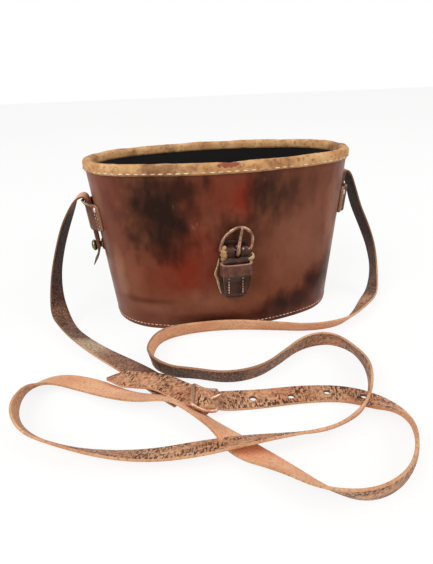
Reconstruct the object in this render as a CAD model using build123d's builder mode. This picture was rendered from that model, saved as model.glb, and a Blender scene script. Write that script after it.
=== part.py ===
"""Leather hard case for a pair of prism binoculars, with its lid hanging open and its shoulder strap
lying in front. Millimetres; the origin is under the middle of the base, +Z is up, -Y is the front."""

import os
from math import atan2, ceil, cos, degrees, radians, sin, tan

from build123d import *

# ---------------------------------------------------------------- driving dimensions

# Case body: an oval that tapers in width towards the base, with flat-fronted, upright long sides
case_height = 96.0
rim_half_width = 78.0
base_half_width = 69.5
half_depth = 43.0
oval_join_angle = 67.0  # where the long side arcs of the oval meet its end arcs
wall_thickness = 3.0
lining_thickness = 0.8
base_lining_thickness = 1.0
binding_thickness = 0.9
binding_outside_height = 5.5
binding_inside_height = 5.0
binding_edge_radius = 1.5
base_thickness = 2.6
base_flange_height = 7.0
base_flange_thickness = 2.2

# Lid, measured with the lid shut
lid_clearance = 1.3
lid_leather = 2.2
lid_low = 83.0  # lower edge of the skirt, which is also the height of the hinge line
lid_skirt_height = 30.0
lid_top_thickness = 3.0
lid_edge_radius = 2.0
lid_top_lining_thickness = 1.0
lid_welt_width = 1.1
lid_welt_height = 2.6
hinge_line_y = 47.6
lid_opening_angle = 183.0
hinge_width = 64.0
hinge_leather = 1.6
hinge_leaf_height = 20.0

# Front buckle
buckle_backing_thickness = 1.2
buckle_leather = 1.6
buckle_bar_height = 50.0
buckle_wire_radius = 1.0
buckle_half_width = 8.5
buckle_side_height = 3.2
keeper_low = 37.2
keeper_height = 6.4
running_clearance = 0.05

# Closing strap
closing_strap_width = 14.0
closing_strap_thickness = 2.2
closing_strap_length = 52.0
closing_strap_fold_angle = 145.0  # between its hanging direction with the lid shut and its rest

# Side fittings
loop_low = 56.5
loop_height = 15.5
loop_leather = 1.8
loop_gap = 3.4
loop_half_span = 9.0
loop_flange_reach = 14.5
stud_height = 44.5
end_rivet_height = 74.3
end_rivet_radius = 2.1

# Shoulder strap
strap_width = 12.0
strap_thickness = 2.2
strap_wire_radius = 0.9

# ---------------------------------------------------------------- worked-out sizes

lid_inner_offset = binding_thickness + lid_clearance
lid_outer_offset = lid_inner_offset + lid_leather
lid_high = lid_low + lid_skirt_height
sewing_gap = 0.1  # between one layer of leather and the layer sewn over it
side_slope = (rim_half_width - base_half_width) / case_height
oval_slack = 1 / cos(radians(oval_join_angle)) - tan(radians(oval_join_angle))
cut_reach = 80.0  # how far a cutting block reaches, towards the front

os.makedirs("parts", exist_ok=True)


def half_width_at(height):
    """Half width of the body's outside at a height."""
    return base_half_width + side_slope * height


def end_arc_radius(half_width, half_depth_here):
    """Radius of the end arcs of an oval of this size."""
    return (half_depth_here - oval_slack * half_width) / (1 - oval_slack)


class Oval(BaseSketchObject):
    """Four-centred oval. Every oval joins its arcs at the same angle, so they are all parallel."""

    def __init__(self, half_width, half_depth_here, mode=Mode.ADD):
        end_radius = end_arc_radius(half_width, half_depth_here)
        end_centre = half_width - end_radius
        side_centre = end_centre * tan(radians(oval_join_angle))
        side_radius = side_centre + half_depth_here
        side_sweep = 180 - 2 * oval_join_angle
        with BuildSketch() as outline:
            with BuildLine():
                CenterArc((end_centre, 0), end_radius, -oval_join_angle, 2 * oval_join_angle)
                CenterArc((0, -side_centre), side_radius, oval_join_angle, side_sweep)
                CenterArc((-end_centre, 0), end_radius, 180 - oval_join_angle, 2 * oval_join_angle)
                CenterArc((0, side_centre), side_radius, 180 + oval_join_angle, side_sweep)
            make_face()
        super().__init__(obj=outline.sketch, mode=mode)


class BodyBlock(BasePartObject):
    """Solid with the body's tapering outside, grown by an offset, between two heights."""

    def __init__(self, low, high, offset, mode=Mode.ADD):
        with BuildPart() as block:
            with BuildSketch(Plane.XY.offset(low)):
                Oval(half_width_at(low) + offset, half_depth + offset)
            with BuildSketch(Plane.XY.offset(high)):
                Oval(half_width_at(high) + offset, half_depth + offset)
            loft(ruled=True)
        super().__init__(part=block.part, mode=mode)


class BodyShell(BasePartObject):
    """Ring that follows the body's outside between two heights and two offsets."""

    def __init__(self, low, high, outer_offset, inner_offset, mode=Mode.ADD):
        with BuildPart() as shell:
            BodyBlock(low, high, outer_offset)
            BodyBlock(low, high, inner_offset, mode=Mode.SUBTRACT)
        super().__init__(part=shell.part, mode=mode)


class LidBlock(BasePartObject):
    """Upright oval block of the shut lid, as wide as the mouth of the case plus an offset."""

    def __init__(self, low, high, offset, mode=Mode.ADD):
        with BuildPart() as block:
            with BuildSketch(Plane.XY.offset(low)):
                Oval(rim_half_width + offset, half_depth + offset)
            extrude(amount=high - low)
        super().__init__(part=block.part, mode=mode)


class LidShell(BasePartObject):
    """Ring that follows the outside of the shut lid between two heights and two offsets."""

    def __init__(self, low, high, outer_offset, inner_offset, mode=Mode.ADD):
        with BuildPart() as shell:
            LidBlock(low, high, outer_offset)
            LidBlock(low, high, inner_offset, mode=Mode.SUBTRACT)
        super().__init__(part=shell.part, mode=mode)


def finish(builder, name, colour):
    """Label a finished piece and write its STEP file."""
    builder.part.label = name
    builder.part.color = Color(*colour)
    export_step(builder.part, f"parts/{name}.step")


brown = (0.40, 0.20, 0.13)
tan_leather = (0.72, 0.50, 0.30)
black = (0.05, 0.045, 0.04)
metal = (0.55, 0.42, 0.33)

# ---------------------------------------------------------------- case body

wall_top = case_height - 1.0

with BuildPart() as body_wall:
    BodyShell(0, wall_top, 0, -wall_thickness)
finish(body_wall, "body_wall", brown)

with BuildPart() as base_pan:
    BodyBlock(0, base_flange_height, -wall_thickness)
    BodyBlock(base_thickness, base_flange_height, -wall_thickness - base_flange_thickness, mode=Mode.SUBTRACT)
finish(base_pan, "base_pan", brown)

with BuildPart() as base_lining:
    lining_high = base_thickness + base_lining_thickness
    BodyBlock(base_thickness, lining_high, -wall_thickness - base_flange_thickness)
finish(base_lining, "base_lining", black)

binding_inside_low = case_height - binding_inside_height

with BuildPart() as wall_lining:
    BodyShell(base_flange_height, binding_inside_low, -wall_thickness, -wall_thickness - lining_thickness)
finish(wall_lining, "wall_lining", black)

# The binding is folded over the mouth: a band outside, the edge on top and a deeper band inside
with BuildPart() as rim_binding:
    BodyBlock(case_height - binding_outside_height, case_height, binding_thickness)
    BodyBlock(case_height - binding_outside_height, wall_top, 0, mode=Mode.SUBTRACT)
    BodyBlock(binding_inside_low, wall_top, -wall_thickness)
    BodyBlock(binding_inside_low, case_height, -wall_thickness - binding_thickness, mode=Mode.SUBTRACT)
    fillet(rim_binding.edges().group_by(Axis.Z)[-1], radius=binding_edge_radius)
finish(rim_binding, "rim_binding", tan_leather)

seam_strip_thickness = 1.4
seam_strip_width = 16.0
seam_strip_low, seam_strip_high = 1.5, 60.0

with BuildPart() as back_seam_strip:
    BodyShell(seam_strip_low, seam_strip_high, seam_strip_thickness, 0)
    with BuildSketch(Plane.XZ):
        with Locations((0, case_height / 2)):
            Rectangle(seam_strip_width, case_height)
    extrude(amount=-cut_reach, mode=Mode.INTERSECT)
finish(back_seam_strip, "back_seam_strip", brown)

hinge_leaf_gap = 1.0  # from the hinge line to the near edge of each leaf

with BuildPart() as hinge_body_leaf:
    BodyShell(lid_low - hinge_leaf_gap - hinge_leaf_height, lid_low - hinge_leaf_gap, hinge_leather, 0)
    with BuildSketch(Plane.XZ):
        with Locations((0, case_height / 2)):
            Rectangle(hinge_width, case_height)
    extrude(amount=-cut_reach, mode=Mode.INTERSECT)
finish(hinge_body_leaf, "hinge_body_leaf", brown)

# ---------------------------------------------------------------- front buckle

# Distances "out" are measured from the flat of the front wall, towards -Y
chape_back_out = buckle_backing_thickness + sewing_gap + buckle_leather / 2
fold_radius = buckle_wire_radius + running_clearance + buckle_leather / 2
buckle_bar_out = chape_back_out + fold_radius
chape_front_out = buckle_bar_out + fold_radius
keeper_leather = 1.5
chape_over_keeper_out = chape_back_out + buckle_leather + keeper_leather + sewing_gap
chape_low_out = chape_back_out + buckle_leather + sewing_gap / 2
chape_low = 22.5
backing_corners = [(-7, 54.5), (7, 54.5), (9.5, 44), (9.5, 26), (5, 20.5), (-5, 20.5), (-9.5, 26), (-9.5, 44)]
chape_corners = [(-6.2, 55), (6.2, 55), (7.0, 44), (7.0, 33), (6, 21.5), (-6, 21.5), (-7.0, 33), (-7.0, 44)]


def out(distance):
    """Y of a point that stands this far out of the front wall."""
    return -(half_depth + distance)


with BuildPart() as buckle_backing:
    BodyShell(20, 55, buckle_backing_thickness, 0)
    with BuildSketch(Plane.XZ) as backing_outline:
        with BuildLine():
            Polyline(*backing_corners, close=True)
        make_face()
        fillet(backing_outline.vertices(), radius=1.5)
    extrude(amount=cut_reach, mode=Mode.INTERSECT)
finish(buckle_backing, "buckle_backing", brown)

prong_slot_width = 4.0
prong_slot_height = 9.0

# The chape goes up the wall, round the bar and down again, over the keeper, to its sewn end
with BuildPart() as buckle_chape:
    with BuildSketch(Plane.YZ):
        with BuildLine():
            Line((out(chape_back_out), 24), (out(chape_back_out), buckle_bar_height))
            ThreePointArc(
                (out(chape_back_out), buckle_bar_height),
                (out(buckle_bar_out), buckle_bar_height + fold_radius),
                (out(chape_front_out), buckle_bar_height),
            )
            Polyline(
                (out(chape_front_out), buckle_bar_height),
                (out(chape_front_out), 46),
                (out(chape_over_keeper_out), keeper_low + keeper_height + 0.3),
                (out(chape_over_keeper_out), keeper_low - 0.3),
                (out(chape_low_out), keeper_low - 3.8),
                (out(chape_low_out), chape_low),
            )
        trace(line_width=buckle_leather)
    extrude(amount=10, both=True)
    with BuildSketch(Plane.XZ):
        with BuildLine():
            Polyline(*chape_corners, close=True)
        make_face()
    extrude(amount=cut_reach, mode=Mode.INTERSECT)
    with BuildSketch(Plane.XZ):
        with Locations((0, buckle_bar_height + 1)):
            Rectangle(prong_slot_width, prong_slot_height)
    extrude(amount=cut_reach, mode=Mode.SUBTRACT)
finish(buckle_chape, "buckle_chape", brown)

keeper_slot = 2.8  # room in front of the chape for the closing strap
keeper_back_out = chape_back_out + buckle_leather / 2 + sewing_gap / 2
keeper_front_out = chape_over_keeper_out + buckle_leather / 2 + keeper_slot + keeper_leather
keeper_depth = keeper_front_out - keeper_back_out
keeper_width = 18.0
keeper_window = (keeper_width - 2 * keeper_leather, keeper_depth - 2 * keeper_leather)

with BuildPart() as buckle_keeper:
    with BuildSketch(Plane.XY.offset(keeper_low)):
        with Locations((0, out((keeper_back_out + keeper_front_out) / 2))):
            RectangleRounded(keeper_width, keeper_depth, 2.4)
            RectangleRounded(*keeper_window, 0.6, mode=Mode.SUBTRACT)
    extrude(amount=keeper_height)
finish(buckle_keeper, "buckle_keeper", brown)

shoulder_height = buckle_bar_height + buckle_side_height
arch_top = shoulder_height + buckle_half_width
corner = 1.5
left, right = -buckle_half_width, buckle_half_width
low_left = [(left, buckle_bar_height + corner), (left + corner, buckle_bar_height)]
low_right = [(right - corner, buckle_bar_height), (right, buckle_bar_height + corner)]

with BuildPart() as buckle_frame:
    with BuildLine(Plane.XZ.offset(half_depth + buckle_bar_out)) as horseshoe:
        Line((0, buckle_bar_height), low_right[0])
        RadiusArc(*low_right, -corner)
        Line(low_right[1], (right, shoulder_height))
        ThreePointArc((right, shoulder_height), (0, arch_top), (left, shoulder_height))
        Line((left, shoulder_height), low_left[0])
        RadiusArc(*low_left, -corner)
        Line(low_left[1], (0, buckle_bar_height))
    with BuildSketch(Plane(origin=(0, out(buckle_bar_out), buckle_bar_height), z_dir=(1, 0, 0))):
        Circle(buckle_wire_radius)
    sweep(path=horseshoe.wires()[0])
finish(buckle_frame, "buckle_frame", metal)

buckle_prong_width = 2.2
prong_ring_radius = buckle_wire_radius + running_clearance + 1.2
prong_inner_out = buckle_bar_out + buckle_wire_radius + 0.2
prong_outer_out = prong_inner_out + 1.1

with BuildPart() as buckle_prong:
    with BuildSketch(Plane.YZ):
        with BuildLine():
            Polyline(
                (out(prong_inner_out), buckle_bar_height),
                (out(prong_inner_out), arch_top + 1.2),
                (out(prong_inner_out + 0.6), arch_top + 1.6),
                (out(prong_outer_out), arch_top + 1.0),
                (out(prong_outer_out), buckle_bar_height),
                close=True,
            )
        make_face()
        with Locations((out(buckle_bar_out), buckle_bar_height)):
            Circle(prong_ring_radius)
            Circle(buckle_wire_radius + running_clearance, mode=Mode.SUBTRACT)
    extrude(amount=buckle_prong_width / 2, both=True)
finish(buckle_prong, "buckle_prong", metal)

# ---------------------------------------------------------------- lid, swung open about the hinge line

hinge_point = (0, hinge_line_y, lid_low)
lid_swing = Pos(*hinge_point) * Rot(X=-lid_opening_angle) * Pos(0, -hinge_line_y, -lid_low)


with BuildPart() as lid_skirt:
    with Locations(lid_swing):
        LidShell(lid_low, lid_high, lid_outer_offset, lid_inner_offset)
finish(lid_skirt, "lid_skirt", brown)

with BuildPart() as lid_top:
    with Locations(lid_swing):
        LidBlock(lid_high, lid_high + lid_top_thickness, lid_outer_offset)
    fillet(lid_top.faces().filter_by(GeomType.PLANE).sort_by(Axis.Z)[0].edges(), radius=lid_edge_radius)
finish(lid_top, "lid_top", brown)

with BuildPart() as lid_welt:
    with Locations(lid_swing):
        welt_low = lid_high - lid_welt_height
        LidShell(welt_low, lid_high, lid_outer_offset + lid_welt_width, lid_outer_offset)
finish(lid_welt, "lid_welt", brown)

lid_lining_low = case_height + 1.5
lid_lining_high = lid_high - lid_top_lining_thickness
lid_lining_offset = lid_inner_offset - lining_thickness

with BuildPart() as lid_skirt_lining:
    with Locations(lid_swing):
        LidShell(lid_lining_low, lid_lining_high, lid_inner_offset, lid_lining_offset)
finish(lid_skirt_lining, "lid_skirt_lining", black)

with BuildPart() as lid_top_lining:
    with Locations(lid_swing):
        LidBlock(lid_lining_high, lid_high, lid_inner_offset)
finish(lid_top_lining, "lid_top_lining", black)

lid_leaf_low = lid_low + hinge_leaf_gap
lid_leaf_high = lid_leaf_low + hinge_leaf_height

with BuildPart() as hinge_lid_leaf:
    with Locations(lid_swing):
        LidShell(lid_leaf_low, lid_leaf_high, lid_outer_offset + hinge_leather, lid_outer_offset)
    with BuildSketch(Plane(lid_swing * Plane.XZ.location)):
        with Locations((0, case_height)):
            Rectangle(hinge_width, case_height)
    extrude(amount=-cut_reach, mode=Mode.INTERSECT)
finish(hinge_lid_leaf, "hinge_lid_leaf", brown)

# ---------------------------------------------------------------- closing strap

fold_knuckle_radius = 3.3
fold_out = lid_outer_offset + fold_knuckle_radius + 0.4
fold_point = (0, out(fold_out), lid_low + 2.5)
strap_root_low = fold_point[2] + fold_knuckle_radius + 0.1
strap_root_high = strap_root_low + 21
strap_root_out = lid_outer_offset + closing_strap_thickness
strap_root_outline = [
    (-closing_strap_width / 2, strap_root_low),
    (closing_strap_width / 2, strap_root_low),
    (closing_strap_width / 2, strap_root_high - 4),
    (0, strap_root_high),
    (-closing_strap_width / 2, strap_root_high - 4),
]

with BuildPart() as closing_strap_root:
    with Locations(lid_swing):
        LidShell(strap_root_low, strap_root_high, strap_root_out, lid_outer_offset)
    with BuildSketch(Plane(lid_swing * Plane.XZ.location)):
        with BuildLine():
            Polyline(*strap_root_outline, close=True)
        make_face()
    extrude(amount=cut_reach, mode=Mode.INTERSECT)
finish(closing_strap_root, "closing_strap_root", brown)

root_rivet_heights = (strap_root_low + 4, strap_root_high - 6)
root_rivet_radius = 2.4
root_rivet_height = 1.0

with BuildPart() as closing_strap_rivets:
    rivet_plane = Plane.XZ.offset(half_depth + strap_root_out)
    with BuildSketch(Plane(lid_swing * rivet_plane.location)):
        with Locations(*[(0, height) for height in root_rivet_heights]):
            Circle(root_rivet_radius)
    extrude(amount=root_rivet_height)
    fillet(closing_strap_rivets.edges().group_by(Axis.Y)[-1], radius=0.7)
finish(closing_strap_rivets, "closing_strap_rivets", metal)

fold_turn = Rot(X=-closing_strap_fold_angle)
strap_swing = lid_swing * Pos(*fold_point) * fold_turn * Pos(0, -fold_point[1], -fold_point[2])
strap_inner_out = fold_out - fold_knuckle_radius
strap_tip = fold_point[2] - closing_strap_length
first_hole = 12.0  # from the tip
hole_spacing = 8.0
strap_hole_radius = 1.4

with BuildPart() as closing_strap:
    inner_face = Plane.XZ.offset(half_depth + strap_inner_out)
    with BuildSketch(Plane(strap_swing * inner_face.location)):
        with BuildLine():
            Polyline(
                (-closing_strap_width / 2, fold_point[2]),
                (closing_strap_width / 2, fold_point[2]),
                (closing_strap_width / 2, strap_tip + 8),
                (2.5, strap_tip),
                (-2.5, strap_tip),
                (-closing_strap_width / 2, strap_tip + 8),
                close=True,
            )
        make_face()
    extrude(amount=closing_strap_thickness)
    with BuildSketch(Plane(strap_swing * Plane.YZ.location)):
        with Locations((fold_point[1], fold_point[2])):
            Circle(fold_knuckle_radius)
    extrude(amount=closing_strap_width / 2, both=True)
    with BuildSketch(Plane(strap_swing * Plane.XZ.location)):
        with Locations(*[(0, strap_tip + first_hole + hole_spacing * hole) for hole in range(4)]):
            Circle(strap_hole_radius)
    extrude(amount=cut_reach, mode=Mode.SUBTRACT)
finish(closing_strap, "closing_strap", brown)

# ---------------------------------------------------------------- side fittings

loop_middle = loop_low + loop_height / 2
wall_lean = atan2(rim_half_width - base_half_width, case_height)
wall_radius = end_arc_radius(half_width_at(loop_middle), half_depth)


def side_plane(side, height):
    """Plane across the wall at one end: X out of the wall, Z up along the leaning wall."""
    return Plane(
        origin=(side * half_width_at(height), 0, height),
        x_dir=(side * cos(wall_lean), 0, -sin(wall_lean)),
        z_dir=(side * sin(wall_lean), 0, cos(wall_lean)),
    )


def wall_angle(reach):
    """Angle round the end arc at which the wall is this far from the middle plane."""
    return degrees(atan2(reach, wall_radius))


flange_gap = 0.15
loop_rivet_radius = 1.5
loop_rivet_height = 0.9
loop_rivet_inset = 2.5  # from the end and from the upper edge of a loop

for side, side_name in ((-1, "left"), (1, "right")):
    loop_plane = side_plane(side, loop_middle)
    flange_radius = wall_radius + flange_gap + loop_leather / 2
    bridge_radius = wall_radius + loop_gap + loop_leather / 2
    rise_angle = wall_angle(loop_half_span - loop_leather / 2)
    flange_sweep = wall_angle(loop_flange_reach) - rise_angle

    # A strip sewn down at both ends, standing off the wall between them
    with BuildPart() as strap_loop:
        with BuildSketch(loop_plane.offset(-loop_height / 2)):
            arc_centre = (-wall_radius, 0)
            with BuildLine():
                upper = CenterArc(arc_centre, flange_radius, rise_angle, flange_sweep)
                bridge = CenterArc(arc_centre, bridge_radius, -rise_angle, 2 * rise_angle)
                lower = CenterArc(arc_centre, flange_radius, -rise_angle - flange_sweep, flange_sweep)
                Line(upper @ 0, bridge @ 1)
                Line(lower @ 1, bridge @ 0)
            trace(line_width=loop_leather)
        extrude(amount=loop_height)
    finish(strap_loop, f"strap_loop_{side_name}", brown)

    with BuildPart() as loop_rivets:
        for y_side in (-1, 1):
            rivet_angle = y_side * radians(wall_angle(loop_flange_reach - loop_rivet_inset))
            radial = loop_plane.x_dir * cos(rivet_angle) + loop_plane.y_dir * sin(rivet_angle)
            arc_axis = loop_plane.origin - loop_plane.x_dir * wall_radius
            rivet_seat = arc_axis + radial * (flange_radius + loop_leather / 2 + running_clearance)
            rivet_seat += loop_plane.z_dir * (loop_height / 2 - loop_rivet_inset)
            with BuildSketch(Plane(origin=rivet_seat, z_dir=radial)):
                Circle(loop_rivet_radius)
            extrude(amount=loop_rivet_height)
    finish(loop_rivets, f"loop_rivets_{side_name}", metal)

# The left strap end is buttoned on a double-headed stud
stud_plane = side_plane(-1, stud_height)
stud_axis_plane = Plane(origin=stud_plane.origin, x_dir=stud_plane.z_dir, z_dir=stud_plane.y_dir)

stud_outline = [
    (0, 0.1),
    (3.6, 0.1),
    (3.6, 0.8),
    (1.8, 1.2),
    (1.8, 4.4),
    (3.0, 4.6),
    (3.4, 5.5),
    (2.6, 6.7),
    (0, 7.1),
]

with BuildPart() as strap_stud_left:
    with BuildSketch(stud_axis_plane):
        with BuildLine():
            Polyline(*stud_outline, close=True)
        make_face()
    revolve(axis=Axis(stud_plane.origin, stud_plane.x_dir))
finish(strap_stud_left, "strap_stud_left", metal)

rivet_plane = side_plane(1, end_rivet_height)
strap_end_out = strap_thickness + 0.7
rivet_seat = rivet_plane.origin + rivet_plane.x_dir * strap_end_out

with BuildPart() as strap_rivet_right:
    with BuildSketch(Plane(origin=rivet_seat, z_dir=rivet_plane.x_dir)):
        Circle(end_rivet_radius)
    extrude(amount=0.7)
finish(strap_rivet_right, "strap_rivet_right", metal)

# Each strap end comes up through its loop and turns over outwards, to where it hangs free
wall_gap = 0.6 + strap_thickness / 2
stud_hole_radius = 2.2


def beside_wall(height, gap):
    """Half width of a line that runs this far outside the wall."""
    return half_width_at(height) + gap


end_points = {
    "left": [
        (80.6, 33),
        (76.4, 39.3),
        (beside_wall(44.5, 3.1), 44.5),
        (beside_wall(52, wall_gap), 52),
        (beside_wall(68, wall_gap), 68),
        (78.4, 76.0),
        (85.3, 74.8),
        (88.8, 68.5),
    ],
    "right": [
        (beside_wall(54, wall_gap), 54),
        (beside_wall(80.2, wall_gap), 80.2),
        (83.4, 77.0),
        (86.6, 67.5),
    ],
}
end_radii = {"left": [6, 4, 10, 40, 3.2, 4], "right": [2.2, 4]}

for side, side_name in ((-1, "left"), (1, "right")):
    centre_points = [(side * x, z) for x, z in end_points[side_name]]
    with BuildPart() as strap_end:
        with BuildSketch(Plane.XZ):
            with BuildLine():
                FilletPolyline(*centre_points, radius=end_radii[side_name])
            trace(line_width=strap_thickness)
        extrude(amount=strap_width / 2, both=True)
        if side_name == "left":
            with BuildSketch(Plane(origin=stud_plane.origin, z_dir=stud_plane.x_dir)):
                Circle(stud_hole_radius)
            extrude(amount=strap_width, mode=Mode.SUBTRACT)
    finish(strap_end, f"strap_end_{side_name}", tan_leather)

# ---------------------------------------------------------------- shoulder strap

# A flat strap is a cord 12 mm in diameter as far as its route goes. On the surface its middle is at
# lying; where it crosses another length it climbs to crossing, clear of the one below.
lying = strap_thickness / 2
crossing = 1.5 * strap_thickness + 0.4
bend_step = 12.0  # degrees between the sections round a bend

# From the left end, which hangs, to the strap's own buckle
short_route = [
    (-88.8, 0, 68.5),
    (-94.2, 0, 57.6),
    (-99.5, -2.5, 44),
    (-103.5, -6, 30),
    (-105, -11, 17),
    (-103.5, -19, 6.8),
    (-98, -30, 2),
    (-89.5, -42.5, lying),
    (-77, -57, lying),
    (-64.5, -70.8, lying),
    (-54, -82.5, lying),
    (-45, -94, lying),
    (-36.8, -103.6, lying),
]

# From the right end, along the front of the case, round three loops, through the buckle to the tip
long_route = [
    (86.6, 0, 67.5),
    (90.4, 0, 56.2),
    (95.5, -3.5, 43.5),
    (99.8, -8, 30),
    (100.5, -14, 17),
    (96, -23, 7),
    (87.5, -33, 2),
    (75, -44, lying),
    (59, -53, lying),
    (40, -56.6, lying),
    (19, -53.4, lying),
    (-5, -50.8, lying),
    (-27, -50.2, lying),
    (-42, -53.5, 1.6),
    (-50.5, -63, crossing),
    (-48.5, -74.5, crossing),
    (-38.5, -82, crossing),
    (-27.5, -86.5, crossing),
    (-14.5, -91.5, lying),
    (-0.5, -91.5, lying),
    (12.5, -84.5, lying),
    (25, -75, lying),
    (37, -69.8, lying),
    (48.5, -72.5, lying),
    (55.2, -82, lying),
    (56.4, -94, lying),
    (54.8, -104, 1.8),
    (49.7, -113.9, crossing),
    (37.6, -128.7, crossing),
    (28, -133.4, lying),
    (16.5, -136.5, lying),
    (-1, -138.3, crossing),
    (-34.5, -138.5, crossing),
    (-52, -136.9, lying),
    (-68.6, -133.2, lying),
    (-85.3, -125.5, lying),
    (-99.8, -116.3, lying),
    (-109.3, -105, lying),
    (-112.8, -92.5, lying),
    (-107.5, -81, lying),
    (-96, -78, lying),
    (-81.5, -84.5, lying),
    (-64.5, -97.2, lying),
    (-49.4, -112.6, lying),
    (-33.4, -125.2, lying),
    (-17.5, -138, lying),
    (-3, -153.5, lying),
    (7.5, -164, lying),
    (19.5, -169, lying),
    (32, -167, lying),
    (43.5, -159, lying),
    (51.5, -148, lying),
    (54, -135.5, lying),
    (48.5, -124, lying),
    (36.5, -116.5, lying),
    (19, -112.8, lying),
    (0, -113.4, lying),
    (-11.5, -116, 1.3),
    (-21, -113.25, 3.0),
    (-27.5, -109.5, 6.0),
    (-40.5, -102, 4.7),
    (-48, -95.5, 3.7),
    (-57, -88.5, 3.6),
    (-65.3, -85.6, 3.6),
    (-72.4, -85.4, 3.7),
]

# The long strap in lengths, each with the last corner of the route before its end
long_strap_lengths = {
    "strap_fall": 8,
    "strap_front_run": 17,
    "strap_right_loop": 31,
    "strap_left_loop": 42,
    "strap_front_loop": 51,
    "strap_holed_run": 57,
}
punched_hole_radius = 1.3
punched_holes = [(-6.2, -114.7), (11.5, -112.9), (28.5, -114.6), (43.5, -120.6)]


def corner_radii(route):
    """Radius of each corner of a route: as large as the shorter of its two runs has room for."""
    radii = []
    for before, corner, after in zip(route, route[1:], route[2:]):
        run_in = Vector(*corner) - Vector(*before)
        run_out = Vector(*after) - Vector(*corner)
        half_turn = radians(run_in.get_angle(run_out) / 2)
        radii.append(0.45 * min(run_in.length, run_out.length) / tan(half_turn))
    return radii


class StrapLength(BasePartObject):
    """Flat strap along a route, lofted through square sections whose width is kept level."""

    def __init__(self, points, radii, mode=Mode.ADD):
        with BuildPart() as length:
            with BuildLine() as route:
                FilletPolyline(*points, radius=radii)
            path = route.wires()[0]
            stations = []
            for edge in path.order_edges():
                straight = edge.geom_type == GeomType.LINE
                steps = 1 if straight else ceil(degrees(edge.length / edge.radius) / bend_step)
                stations += [(edge @ (step / steps), edge % (step / steps)) for step in range(steps)]
            stations.append((path @ 1, path % 1))
            for place, heading in stations:
                across = Vector(0, 0, 1).cross(heading)
                with BuildSketch(Plane(origin=place, x_dir=across, z_dir=heading)):
                    Rectangle(strap_width, strap_thickness)
            loft(ruled=True)
        section = strap_width * strap_thickness
        print(f"strap length {path.length:.1f}: volume {length.part.volume:.0f},", end=" ")
        print(f"section by length {path.length * section:.0f}")
        super().__init__(part=length.part, mode=mode)


def middle(first, second):
    """Point half way along a run."""
    return tuple((a + b) / 2 for a, b in zip(first, second))


short_radii = corner_radii(short_route)
long_radii = corner_radii(long_route)
print("strap corner radii:", " ".join(f"{radius:.0f}" for radius in short_radii + long_radii))

with BuildPart() as strap_short:
    StrapLength(short_route, short_radii)
finish(strap_short, "strap_short", tan_leather)

length_start = long_route[0]
first_corner = 1
for length_name, last_corner in long_strap_lengths.items():
    length_end = middle(long_route[last_corner], long_route[last_corner + 1])
    corners = long_route[first_corner : last_corner + 1]
    with BuildPart() as strap_length:
        StrapLength([length_start, *corners, length_end], long_radii[first_corner - 1 : last_corner])
        if length_name == "strap_holed_run":
            with BuildSketch():
                with Locations(*punched_holes):
                    Circle(punched_hole_radius)
            extrude(amount=strap_width, mode=Mode.SUBTRACT)
    finish(strap_length, length_name, tan_leather)
    length_start = length_end
    first_corner = last_corner + 1

# The strap's buckle: a bowed frame with a bar across its middle. X runs along the strap.
buckle_plane = Plane(origin=(-27.5, -109.5, 0), x_dir=(cos(radians(-30)), sin(radians(-30)), 0))
frame_half_length = 6.8
frame_half_width = 8.4
frame_left_height = 7.9
frame_right_height = 5.6
bar_height = 2.15
fold_leather = 1.1
fold_inner_radius = strap_wire_radius + running_clearance
fold_outer_radius = fold_inner_radius + fold_leather
prong_thickness = 1.1
prong_width = 1.8
prong_ring = fold_inner_radius + 0.8
prong_rise = 38.5
prong_length = 11.2
slot_start, slot_end = 0.3, 6.2
slot_width = 3.0

with BuildPart() as strap_tail:
    StrapLength([length_start, *long_route[first_corner:]], long_radii[first_corner - 1 :])
    with BuildSketch(buckle_plane.offset(bar_height)):
        with Locations(((slot_start + slot_end) / 2, 0)):
            Rectangle(slot_end - slot_start, slot_width)
    extrude(amount=strap_width, mode=Mode.SUBTRACT)
    tail_heading = Vector(*long_route[-1]) - Vector(*long_route[-2])
    with BuildSketch(Plane(origin=long_route[-1], x_dir=tail_heading)):
        for y_side in (-1, 1):
            with BuildLine():
                Polyline((-8, y_side * 6.1), (1, y_side * 6.1), (1, y_side), (-2, y_side * 2), close=True)
            make_face()
    extrude(amount=strap_width, both=True, mode=Mode.SUBTRACT)
finish(strap_tail, "strap_tail", tan_leather)


def in_buckle(x, y, z):
    """Point given along, across and above the middle of the strap's buckle."""
    return buckle_plane.from_local_coords((x, y, z))


rail_bend = 1.8
rail_dip = 0.35  # how far the bend of a rail stays above its lowest corner
frame_corners = [
    in_buckle(-frame_half_length, -frame_half_width, frame_left_height),
    in_buckle(-frame_half_length, frame_half_width, frame_left_height),
    in_buckle(0, frame_half_width, bar_height - rail_dip),
    in_buckle(frame_half_length, frame_half_width, frame_right_height),
    in_buckle(frame_half_length, -frame_half_width, frame_right_height),
    in_buckle(0, -frame_half_width, bar_height - rail_dip),
]

with BuildPart() as strap_buckle:
    with BuildLine() as frame_line:
        FilletPolyline(*frame_corners, radius=rail_bend, close=True)
    frame_path = frame_line.wires()[0]
    with BuildSketch(Plane(origin=frame_path @ 0, z_dir=frame_path % 0)):
        Circle(strap_wire_radius)
    sweep(path=frame_path)
    with BuildSketch(Plane(origin=in_buckle(0, 0, bar_height), z_dir=buckle_plane.y_dir)):
        Circle(strap_wire_radius)
    extrude(amount=frame_half_width, both=True)
finish(strap_buckle, "strap_buckle", metal)

fold_start = -8.6
flap_start = -16.0
flap_height = strap_thickness + 0.1
upright_plane = Plane(origin=buckle_plane.origin, x_dir=buckle_plane.x_dir, z_dir=-buckle_plane.y_dir)

under_low = 0.02
under_bar = [(fold_start, under_low), (0, under_low), (0, fold_leather), (fold_start, fold_leather)]

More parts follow.
